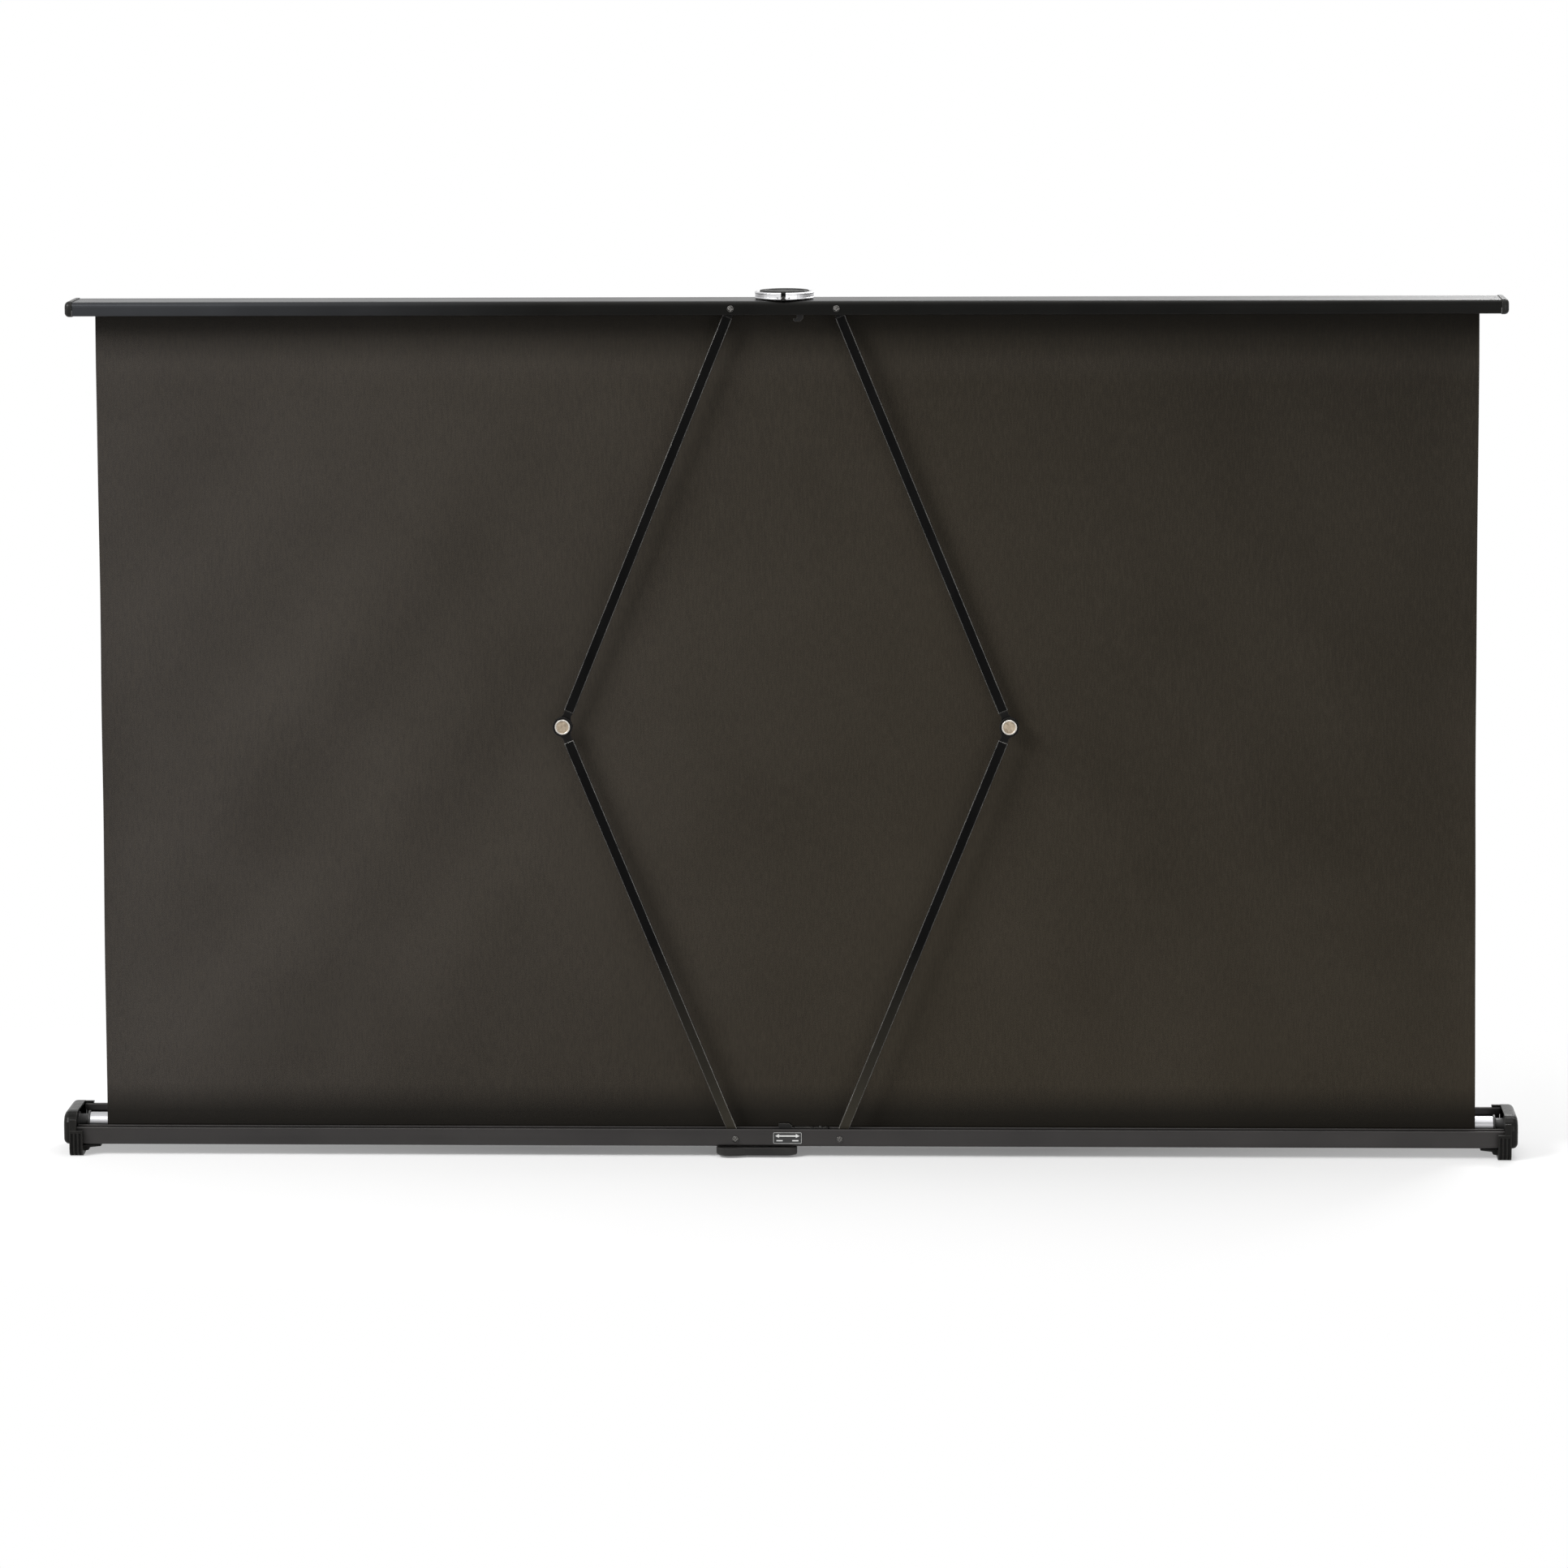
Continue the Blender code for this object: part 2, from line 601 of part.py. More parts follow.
def build_roller_bearing(name, side, finish):
    """Stepped bearing that stands in the cap's pocket and carries the roller's end."""
    wall_x = HALF_CASE - CAP_WIDTH + CAP_POCKET_DEPTH - GAP
    face_x = ROLLER_HALF + GAP * 2
    pin_x = ROLLER_HALF - PLUG_INSERT_LENGTH / 2
    profile = [(BEARING_PIN_RADIUS - CUT_OVERRUN / 4, pin_x), (BEARING_PIN_RADIUS, pin_x + CUT_OVERRUN / 4),
               (BEARING_PIN_RADIUS, face_x), (BEARING_SEAT_RADIUS, face_x),
               (BEARING_SEAT_RADIUS, (face_x + wall_x) / 2),
               (BEARING_SEAT_RADIUS + CAP_WALL, (face_x + wall_x) / 2),
               (BEARING_SEAT_RADIUS + CAP_WALL, wall_x)]
    bm = bmesh.new()
    turned(bm, [(radius, side * x) for radius, x in profile], sideways(REAR_Y + ROLLER_U, ROLLER_Z))
    return add_object(name, bm, finish, smooth=True)


def build_cap_screw(name, side, pieces, finish):
    """Countersunk screw from below through the case floor into an end cap's front plug."""
    x = side * (CHANNEL_HALF - PLUG_LENGTH * CAP_SCREW_PLACE_SHARE)
    y = REAR_Y + CASE_DEPTH - FRONT_FLOOR_RADIUS - GAP - PLUG_DEPTH / 4
    neck = CASE_BOTTOM + CAP_SCREW_HEAD_HEIGHT
    tip = CASE_BOTTOM + CAP_SCREW_LENGTH
    for piece in pieces:
        cutter = bmesh.new()
        profile = [(CAP_SCREW_HEAD_RADIUS + GAP, CASE_BOTTOM - CUT_OVERRUN),
                   (CAP_SCREW_HEAD_RADIUS + GAP, CASE_BOTTOM), (CAP_SCREW_RADIUS + GAP, neck),
                   (CAP_SCREW_RADIUS + GAP, tip + GAP)]
        turned(cutter, profile, upright(x, y), SMALL_ROUND_STEPS)
        cut_with(piece, "cap_screw_hole", cutter)
    bm = bmesh.new()
    profile = [(CAP_SCREW_HEAD_RADIUS, CASE_BOTTOM), (CAP_SCREW_RADIUS, neck), (CAP_SCREW_RADIUS, tip)]
    turned(bm, profile, upright(x, y), SMALL_ROUND_STEPS)
    return add_object(name, bm, finish, smooth=True)


# Pivot hardware

def cut_cross(screw, place, reach, width, start, end):
    """Cross recess for a screwdriver in a screw's head."""
    half = width / 2
    outline = [(half, half), (half, reach), (-half, reach), (-half, half), (-reach, half), (-reach, -half),
               (-half, -half), (-half, -reach), (half, -reach), (half, -half), (reach, -half), (reach, half)]
    bm = bmesh.new()
    prism(bm, outline, place, start, end)
    cut_with(screw, "cross", bm)


def build_pivot_screw(name, x, z, nut_u, finish):
    """Pan-head screw through the rear wall of the case or the bar."""
    head = -GAP - PIVOT_HEAD_HEIGHT
    profile = [(PIVOT_HEAD_RADIUS * PAN_TOP_SHARE, head),
               (PIVOT_HEAD_RADIUS * PAN_SHOULDER_SHARE, head + PIVOT_HEAD_HEIGHT * PAN_SHOULDER_HEIGHT_SHARE),
               (PIVOT_HEAD_RADIUS, -GAP), (PIVOT_SHANK_RADIUS, -GAP),
               (PIVOT_SHANK_RADIUS, nut_u + PIVOT_NUT_HEIGHT)]
    place = along_depth(x, z)
    bm = bmesh.new()
    turned(bm, profile, place, SMALL_ROUND_STEPS)
    screw = add_object(name, bm, finish, smooth=True)
    cut_cross(screw, place, PIVOT_CROSS_REACH, PIVOT_CROSS_WIDTH, head - CUT_OVERRUN,
              head + PIVOT_CROSS_DEPTH)
    return screw


def build_pivot_bush(name, x, z, start_u, end_u, finish):
    """Bush that holds an arm off the wall."""
    bore = PIVOT_SHANK_RADIUS + GAP
    profile = [(bore, start_u), (PIVOT_BUSH_RADIUS, start_u), (PIVOT_BUSH_RADIUS, end_u), (bore, end_u)]
    bm = bmesh.new()
    turned(bm, profile, along_depth(x, z), SMALL_ROUND_STEPS, bored=True)
    return add_object(name, bm, finish, smooth=True)


def build_pivot_nut(name, x, z, start_u, finish):
    """Hexagon nut behind an arm."""
    place = along_depth(x, z)
    end_u = start_u + PIVOT_NUT_HEIGHT
    hexagon = arc((0, 0), PIVOT_NUT_RADIUS, 0, 300, 5)
    bore = arc((0, 0), PIVOT_SHANK_RADIUS + GAP, 0, 300, 5)
    bm = bmesh.new()
    made = [[bm.verts.new(place(a, b, u)) for a, b in outline]
            for outline, u in ((bore, start_u), (hexagon, start_u), (hexagon, end_u), (bore, end_u))]
    made.append(made[0])
    for lower, upper in zip(made, made[1:]):
        for index in range(len(lower)):
            following = (index + 1) % len(lower)
            bm.faces.new((lower[index], lower[following], upper[following], upper[index]))
    return add_object(name, bm, finish)


def build_pivot_set(word, level, z, wall, layer_u, side, screw_finish, finish):
    """Screw, bush and nut of one pivot."""
    x = side * PIVOT_HALF_SPACING
    nut_u = layer_u + ARM_THICKNESS + GAP
    return [build_pivot_screw(level + "_pivot_screw_" + word, x, z, nut_u, screw_finish),
            build_pivot_bush(level + "_pivot_bush_" + word, x, z, wall + GAP, layer_u - GAP, finish),
            build_pivot_nut(level + "_pivot_nut_" + word, x, z, nut_u, finish)]


# Arms

def arm_place(pivot_x, pivot_z, lean):
    """Placing along a leaning arm: s runs along it, t across it, u is the depth."""
    direction = Vector((math.sin(lean), math.cos(lean)))
    sideways_direction = Vector((direction.y, -direction.x))

    def place(t, s, u):
        point = direction * s + sideways_direction * t
        return (pivot_x + point.x, REAR_Y + u, pivot_z + point.y)

    return place


def channel_section():
    """An arm's section as (t, depth): a flat web behind and a flange on each side."""
    half = ARM_WIDTH / 2
    chamfer = ARM_WEB / 2
    return [(-half + chamfer, 0), (half - chamfer, 0), (half, chamfer), (half, ARM_THICKNESS),
            (half - ARM_FLANGE, ARM_THICKNESS), (half - ARM_FLANGE, ARM_WEB),
            (-half + ARM_FLANGE, ARM_WEB), (-half + ARM_FLANGE, ARM_THICKNESS),
            (-half, ARM_THICKNESS), (-half, chamfer)]


def build_arm(name, place, layer_u, start, end, finish):
    """A channel arm between its two end fittings."""
    bm = bmesh.new()
    rings = []
    for s in (start, end):
        rings.append([place(t, s, layer_u + depth) for t, depth in channel_section()])
    loft(bm, rings)
    return add_object(name, bm, finish)


def build_fitting(name, place, layer_u, centre_s, eye_radius, hole_radius, direction, setback, finish):
    """A flat fitting: an eye and neck of full thickness on a tongue that lies in the arm's channel."""
    half = ARM_WIDTH / 2 - ARM_FLANGE - GAP
    tongue_u = layer_u + ARM_WEB + GAP
    face_u = layer_u + ARM_THICKNESS
    bm = bmesh.new()
    far = centre_s + direction * (setback + FITTING_INSERTION)
    rings = []
    for s in (centre_s, far):
        rings.append([place(t, s, u) for t, u in ((-half, tongue_u), (half, tongue_u),
                                                   (half, face_u), (-half, face_u))])
    loft(bm, rings)
    fitting = add_object(name, bm, finish, smooth=True)
    neck_root = centre_s + direction * eye_radius / 4
    neck_end = centre_s + direction * (setback - GAP)
    root_half = max(FITTING_NECK_HALF_WIDTH, eye_radius * NECK_ROOT_SHARE)
    waist_s = neck_end - direction * FITTING_NECK_HALF_WIDTH
    waist_half = FITTING_NECK_HALF_WIDTH * NECK_WAIST_SHARE
    outline = [(-FITTING_NECK_HALF_WIDTH, neck_end), (-waist_half, waist_s), (-root_half, neck_root),
               (root_half, neck_root), (waist_half, waist_s), (FITTING_NECK_HALF_WIDTH, neck_end)]
    bm = bmesh.new()
    prism(bm, outline, place, layer_u, face_u)
    join_with(fitting, "neck", bm)
    bm = bmesh.new()

    def eye(a, b, u):
        return place(a, centre_s + b, u)

    turned(bm, [(eye_radius, layer_u), (eye_radius, face_u)], eye, ROUND_STEPS)
    join_with(fitting, "eye", bm)
    bm = bmesh.new()
    turned(bm, [(hole_radius, layer_u - CUT_OVERRUN), (hole_radius, face_u + CUT_OVERRUN)], eye,
           SMALL_ROUND_STEPS)
    cut_with(fitting, "eye_hole", bm)
    return fitting


def build_knee_rivet(name, x, z, finish):
    """Rivet with a wide dished head behind and a small tail in front."""
    head_u = CASE_WALL + GAP
    lower_face = head_u + KNEE_HEAD_HEIGHT
    tail_u = UPPER_LAYER_U + ARM_THICKNESS + GAP
    profile = [(KNEE_HEAD_RECESS_RADIUS * RIVET_DISH_SHARE, head_u + KNEE_HEAD_RECESS),
               (KNEE_HEAD_RECESS_RADIUS, head_u), (KNEE_HEAD_RADIUS * RIVET_RIM_SHARE, head_u),
               (KNEE_HEAD_RADIUS, head_u + KNEE_HEAD_HEIGHT / 3),
               (KNEE_HEAD_RADIUS, lower_face), (KNEE_SHANK_RADIUS, lower_face), (KNEE_SHANK_RADIUS, tail_u),
               (KNEE_TAIL_RADIUS, tail_u), (KNEE_TAIL_RADIUS, tail_u + KNEE_TAIL_HEIGHT)]
    bm = bmesh.new()
    turned(bm, profile, along_depth(x, z))
    return add_object(name, bm, finish, smooth=True)


# Roller and cloth

def build_roller_tube(finish):
    bm = bmesh.new()
    inner = ROLLER_RADIUS - ROLLER_TUBE_WALL
    half = ROLLER_HALF - PLUG_FLANGE_WIDTH - GAP
    turned(bm, [(inner, -half), (ROLLER_RADIUS, -half), (ROLLER_RADIUS, half), (inner, half)],
           sideways(REAR_Y + ROLLER_U, ROLLER_Z), bored=True)
    return add_object("roller_tube", bm, finish, smooth=True)


def build_roller_plug(name, side, finish):
    """Stepped plug in the end of the tube, which turns on its bearing's pin."""
    fit = ROLLER_RADIUS - ROLLER_TUBE_WALL - GAP
    flange_x = ROLLER_HALF - PLUG_FLANGE_WIDTH
    profile = [(PLUG_BORE_RADIUS, ROLLER_HALF), (PLUG_FLANGE_RADIUS, ROLLER_HALF),
               (PLUG_FLANGE_RADIUS, flange_x), (fit, flange_x), (fit, flange_x - PLUG_INSERT_LENGTH),
               (PLUG_BORE_RADIUS, flange_x - PLUG_INSERT_LENGTH)]
    bm = bmesh.new()
    turned(bm, [(radius, side * x) for radius, x in profile], sideways(REAR_Y + ROLLER_U, ROLLER_Z),
           bored=True)
    return add_object(name, bm, finish, smooth=True)


def build_spring_shaft(finish):
    """Fixed shaft of the spring motor, from the right bearing into the tube."""
    bm = bmesh.new()
    start = ROLLER_HALF - PLUG_INSERT_LENGTH / 2 - GAP
    end = start - SHAFT_LENGTH
    chamfer = SHAFT_RADIUS / 4
    profile = [(SHAFT_RADIUS, start), (SHAFT_RADIUS, end + chamfer), (SHAFT_RADIUS - chamfer, end)]
    turned(bm, profile, sideways(REAR_Y + ROLLER_U, ROLLER_Z), SMALL_ROUND_STEPS)
    return add_object("spring_shaft", bm, finish, smooth=True)


def build_motor_spring(finish):
    """Torsion spring of the motor, coiled round the shaft inside the tube."""
    start = ROLLER_HALF - PLUG_INSERT_LENGTH - PLUG_FLANGE_WIDTH - SPRING_WIRE_RADIUS - GAP
    steps = SPRING_TURNS * SPRING_TURN_STEPS
    curve = bpy.data.curves.new("motor_spring", "CURVE")
    curve.dimensions = "3D"
    curve.bevel_depth = SPRING_WIRE_RADIUS
    curve.bevel_resolution = 1
    curve.use_fill_caps = True
    spline = curve.splines.new("POLY")
    spline.points.add(steps)
    for index in range(steps + 1):
        angle = 2 * math.pi * SPRING_TURNS * index / steps
        x = start - SPRING_LENGTH * index / steps
        y = REAR_Y + ROLLER_U + SPRING_RADIUS * math.cos(angle)
        z = ROLLER_Z + SPRING_RADIUS * math.sin(angle)
        spline.points[index].co = (x, y, z, 1)
    curve.materials.append(finish)
    spring = bpy.data.objects.new("motor_spring", curve)
    bpy.context.scene.collection.objects.link(spring)
    turn_gap = SPRING_LENGTH / SPRING_TURNS - SPRING_WIRE_RADIUS * 2
    print("least gap between the spring's turns, mm:", round(turn_gap * 1000, 2))
    return spring


def build_cloth(finish):
    """The drawn cloth, from the roller's rear side to the clamp under the bar."""
    half = CLOTH_WIDTH / 2
    low = CLOTH_U - CLOTH_THICKNESS / 2
    high = CLOTH_U + CLOTH_THICKNESS / 2
    bm = bmesh.new()
    outline = [(low, ROLLER_Z - CASE_BOTTOM), (high, ROLLER_Z - CASE_BOTTOM),
               (high, CLOTH_TOP - CASE_BOTTOM), (low, CLOTH_TOP - CASE_BOTTOM)]
    prism(bm, outline, across, -half, half)
    return add_object("screen_cloth", bm, finish)


def build_clamp(finish):
    """Strip that holds the cloth's top hem under the bar."""
    half = CLOTH_WIDTH / 2
    outline = rounded_outline((CLOTH_U - CLAMP_WIDTH / 2, CLAMP_TOP - CLAMP_HEIGHT - BAR_BOTTOM),
                              (CLOTH_U + CLAMP_WIDTH / 2, CLAMP_TOP - BAR_BOTTOM), [CLAMP_HEIGHT / 3] * 4)
    bm = bmesh.new()
    prism(bm, outline, across_bar, -half, half)
    return add_object("cloth_clamp", bm, finish)


# Top bar

def bar_section():
    """An inverted channel with a deep rear skirt and a shallower front skirt."""
    wall = BAR_WALL
    half_wall = wall / 2
    depth = BAR_DEPTH
    top = BAR_HEIGHT
    front_low = top - BAR_FRONT_SKIRT_HEIGHT
    points = arc((half_wall, half_wall), half_wall, 360, 180)
    points += arc((BAR_REAR_RADIUS, top - BAR_REAR_RADIUS), BAR_REAR_RADIUS, 180, 90)
    points += arc((depth - BAR_FRONT_RADIUS, top - BAR_FRONT_RADIUS), BAR_FRONT_RADIUS, 90, 0)
    points += [(depth, front_low), (depth - wall, front_low), (depth - wall, top - wall)]
    points += arc((BAR_REAR_RADIUS, top - BAR_REAR_RADIUS), BAR_REAR_RADIUS - wall, 90, 180)
    return points


def build_bar(finish):
    half = HALF_BAR - BAR_CAP_WIDTH - GAP
    bm = bmesh.new()
    prism(bm, bar_section(), across_bar, -half, half)
    bar = add_object("top_bar", bm, finish, smooth=True)
    for side in (-1, 1):
        bm = bmesh.new()
        hole = PIVOT_SHANK_RADIUS + GAP
        turned(bm, [(hole, -CUT_OVERRUN), (hole, BAR_WALL + CUT_OVERRUN)],
               along_depth(side * PIVOT_HALF_SPACING, UPPER_PIVOT_Z), SMALL_ROUND_STEPS)
        cut_with(bar, "pivot_hole", bm)
    return bar


def bar_cap_outline(inset):
    low = (-BAR_CAP_PROUD, -BAR_CAP_PROUD)
    high = (BAR_DEPTH + GAP, BAR_HEIGHT + BAR_CAP_PROUD)
    radii = [BAR_CAP_ROUND + GAP, BAR_CAP_ROUND + GAP, BAR_CAP_ROUND + GAP, BAR_CAP_CORNER_RADIUS]
    return rounded_outline(low, high, radii, inset)


def build_bar_cap(name, side, finish):
    """End cap of the bar: a collar that plugs into the extrusion and an arch over the roller's end."""
    inner_x = side * (HALF_BAR - BAR_CAP_WIDTH)
    rings = [[(inner_x, u, w) for u, w in bar_cap_outline(0)]]
    for index in range(ARC_STEPS + 1):
        angle = math.radians(90 * index / ARC_STEPS)
        x = inner_x + side * (BAR_CAP_WIDTH - BAR_CAP_ROUND + BAR_CAP_ROUND * math.sin(angle))
        rings.append([(x, u, w) for u, w in bar_cap_outline(BAR_CAP_ROUND * (1 - math.cos(angle)))])
    bm = bmesh.new()
    loft(bm, [[across_bar(u, w, x) for x, u, w in ring] for ring in rings])
    cap = add_object(name, bm, finish, smooth=True)
    bm = bmesh.new()
    top = BAR_HEIGHT - BAR_WALL - GAP
    low = (BAR_REAR_RADIUS, top - BAR_CAP_COLLAR_HEIGHT)
    high = (BAR_DEPTH - BAR_WALL - GAP, top)
    outline = rounded_outline(low, high, [BAR_WALL / 2] * 4)
    prism(bm, outline, across_bar, inner_x - side * BAR_CAP_COLLAR_LENGTH, inner_x + side * BAR_CAP_WIDTH / 3)
    join_with(cap, "collar", bm)
    bm = bmesh.new()
    arch = PLUG_FLANGE_RADIUS + BAR_CAP_ARCH_CLEARANCE
    arch_w = ROLLER_Z - FOLDED_BAR_BOTTOM
    start = side * (HALF_BAR - BAR_CAP_WIDTH - BAR_CAP_COLLAR_LENGTH - CUT_OVERRUN)
    turned(bm, [(arch, start), (arch, side * (HALF_BAR + CUT_OVERRUN))],
           sideways(REAR_Y + ROLLER_U, BAR_BOTTOM + arch_w))
    cut_with(cap, "roller_arch", bm)
    return cap


# Latch

def build_latch_tongue(finish):
    """Hooked tongue that hangs from the bar and drops into the slide's slot."""
    tip = -TONGUE_DROP
    barb_top = tip + TONGUE_BARB_HEIGHT
    neck_top = barb_top + TONGUE_NECK_HEIGHT
    right = TONGUE_NECK_WIDTH / 2
    left = right - TONGUE_WIDTH
    top = BAR_HEIGHT - BAR_WALL - GAP
    outline = [(left + TONGUE_BARB_HEIGHT / 2, tip), (right - TONGUE_BARB_HEIGHT, tip),
               (right, barb_top), (right, top), (left, top), (left, neck_top),
               (right - TONGUE_NECK_WIDTH, neck_top), (right - TONGUE_NECK_WIDTH, barb_top),
               (left, barb_top), (left, tip + TONGUE_BARB_HEIGHT / 2)]
    bm = bmesh.new()

    def place(a, b, u):
        return (LATCH_OFFSET + a, REAR_Y + u, BAR_BOTTOM + b)

    start = COMPARTMENT_MID_U - TONGUE_THICKNESS / 2
    prism(bm, outline, place, start, start + TONGUE_THICKNESS)
    return add_object("latch_tongue", bm, finish)


def build_lock_slide(finish):
    """Flat slide with a raised block, a slot for the tongue, a guide slot and a round end."""
    half = SLIDE_WIDTH / 2
    place = upright(0, REAR_Y + COMPARTMENT_MID_U)
    outline = [(-SLIDE_LEFT, -half)]
    outline += arc((SLIDE_RIGHT - half, 0), half, -90, 90, ARC_STEPS * 2)
    outline += [(-SLIDE_LEFT, half)]
    bm = bmesh.new()
    prism(bm, outline, place, SLIDE_Z, SLIDE_Z + SLIDE_THICKNESS)
    slide = add_object("lock_slide", bm, finish, smooth=True)
    bm = bmesh.new()
    block = [(-SLIDE_LEFT, SLIDE_Z), (-SLIDE_LEFT + SLIDE_BLOCK_LENGTH, SLIDE_Z),
             (-SLIDE_LEFT + SLIDE_BLOCK_LENGTH, SLIDE_Z + SLIDE_THICKNESS + SLIDE_BLOCK_HEIGHT / 2),
             (-SLIDE_LEFT + SLIDE_BLOCK_LENGTH * SLIDE_BLOCK_RAMP_SHARE,
              SLIDE_Z + SLIDE_THICKNESS + SLIDE_BLOCK_HEIGHT),
             (-SLIDE_LEFT, SLIDE_Z + SLIDE_THICKNESS + SLIDE_BLOCK_HEIGHT)]

    def side_place(x, z, u):
        return (x, REAR_Y + COMPARTMENT_MID_U + u, z)

    prism(bm, block, side_place, -half, half)
    join_with(slide, "block", bm)
    slots = [(LATCH_OFFSET, SLIDE_SLOT_LENGTH, SLIDE_SLOT_WIDTH),
             (GUIDE_OFFSET, 2 * (SLIDE_TRAVEL + GUIDE_PIN_RADIUS + GAP), 2 * (GUIDE_PIN_RADIUS + GAP))]
    for x, length, width in slots:
        bm = bmesh.new()
        outline = rounded_outline((x - length / 2, -width / 2), (x + length / 2, width / 2),
                                  [width * SLIDE_SLOT_ROUND_SHARE] * 4)
        prism(bm, outline, place, SLIDE_Z - CUT_OVERRUN, SLIDE_Z + SLIDE_THICKNESS + CUT_OVERRUN)
        cut_with(slide, "slot", bm)
    return slide


def build_lock_guide(finish):
    """Shouldered pin on the case floor, which carries the slide's free end."""
    floor = CASE_BOTTOM + CASE_WALL + GAP
    shoulder = SLIDE_Z - GAP
    head = SLIDE_Z + SLIDE_THICKNESS + GAP
    profile = [(GUIDE_POST_RADIUS, floor), (GUIDE_POST_RADIUS, shoulder), (GUIDE_PIN_RADIUS, shoulder),
               (GUIDE_PIN_RADIUS, head), (GUIDE_HEAD_RADIUS, head),
               (GUIDE_HEAD_RADIUS * GUIDE_HEAD_TOP_SHARE, head + GUIDE_HEAD_HEIGHT)]
    bm = bmesh.new()
    turned(bm, profile, upright(GUIDE_OFFSET, REAR_Y + COMPARTMENT_MID_U), SMALL_ROUND_STEPS)
    return add_object("lock_guide_pin", bm, finish, smooth=True)


def build_lock_handle(finish):
    """Handle below the case: a bar with a finger lobe, and a neck up through the floor slot."""
    right = HANDLE_RIGHT
    left = right - HANDLE_LENGTH
    bar = HANDLE_BAR_RADIUS
    lobe = HANDLE_LOBE_RADIUS
    bar_v = -HANDLE_PROUD + bar
    lobe_v = -HANDLE_LOBE_PROUD + lobe
    outline = arc((right - bar, bar_v), bar, -90, 90, ARC_STEPS * 2)
    outline += arc((left + lobe, lobe_v), lobe, 90, 270, ARC_STEPS * 2)
    along, out = HANDLE_LOBE_END_SHARES
    outline += [(left + lobe * along, lobe_v - lobe * out),
                (left + lobe * HANDLE_THROAT_SHARE, -HANDLE_PROUD)]
    low = HANDLE_TOP - HANDLE_THICKNESS
    centre = (sum(x for x, v in outline) / len(outline), sum(v for x, v in outline) / len(outline))

    def ring(z, inset):
        points = []
        for x, v in outline:
            away = Vector((x - centre[0], v - centre[1]))
            sign_v = -1 if away.y < 0 else 1
            shift_x = inset * max(-1, min(1, away.x / bar))
            points.append((x - shift_x, REAR_Y + v - inset * sign_v, z))
        return points

    bm = bmesh.new()
    loft(bm, [ring(low, HANDLE_FILLET), ring(low + HANDLE_FILLET / 3, HANDLE_FILLET / 3),
              ring(low + HANDLE_FILLET, 0), ring(HANDLE_TOP - GAP, 0), ring(HANDLE_TOP, GAP)])
    handle = add_object("lock_handle", bm, finish, smooth=True)
    bm = bmesh.new()
    half_length = HANDLE_NECK_LENGTH / 2
    half_width = HANDLE_NECK_WIDTH / 2
    radius = half_width * SLOT_ROUND_SHARE
    neck = rounded_outline((-half_length, -half_width), (half_length, half_width), [radius] * 4)
    prism(bm, neck, upright(0, REAR_Y + COMPARTMENT_MID_U), HANDLE_TOP - HANDLE_THICKNESS / 2,
          SLIDE_Z - GAP)
    join_with(handle, "neck", bm)
    return handle


# Pull ring

def build_pull_base(finish):
    """Round pedestal on the bar with a lug behind for the ring's pin."""
    low = BAR_TOP + GAP
    high = BAR_TOP + RING_LIFT + RING_HEIGHT - PULL_CAP_HEIGHT + GAP * 2
    y = REAR_Y + RING_CENTRE_U
    bm = bmesh.new()
    turned(bm, [(PEDESTAL_RADIUS, low), (PEDESTAL_RADIUS, high)], upright(0, y))
    base = add_object("pull_base", bm, finish, smooth=True)
    bm = bmesh.new()
    rear = RING_AXIS_U - LUG_REACH
    profile = arc((RING_AXIS_U, RING_AXIS_HEIGHT), LUG_REACH, 180, 90)
    profile += [(RING_CENTRE_U - PEDESTAL_RADIUS + CUT_OVERRUN, RING_AXIS_HEIGHT + LUG_REACH),
                (RING_CENTRE_U - PEDESTAL_RADIUS + CUT_OVERRUN, GAP), (rear, GAP)]

    def place(u, w, x):
        return (x, REAR_Y + u, BAR_TOP + w)

    prism(bm, profile, place, -LUG_WIDTH / 2, LUG_WIDTH / 2)
    join_with(base, "lug", bm)
    bm = bmesh.new()
    hole = PULL_PIN_RADIUS + GAP
    turned(bm, [(hole, -LUG_WIDTH), (hole, LUG_WIDTH)], sideways(REAR_Y + RING_AXIS_U, RING_AXIS_Z),
           SMALL_ROUND_STEPS)
    cut_with(base, "pin_hole", bm)
    return base


def build_pull_cap(finish):
    """Flat round cap on the pedestal, level with the ring."""
    low = BAR_TOP + RING_LIFT + RING_HEIGHT - PULL_CAP_HEIGHT + GAP * 3
    high = low + PULL_CAP_HEIGHT
    edge = PULL_CAP_HEIGHT / 3
    profile = [(PULL_CAP_RADIUS, low), (PULL_CAP_RADIUS, high - edge), (PULL_CAP_RADIUS - edge, high),
               (PULL_CAP_RADIUS * PULL_CAP_RIM_SHARE, high),
               (PULL_CAP_RADIUS * PULL_CAP_DISH_SHARE, high - edge)]
    bm = bmesh.new()
    turned(bm, profile, upright(0, REAR_Y + RING_CENTRE_U))
    return add_object("pull_cap", bm, finish, smooth=True)


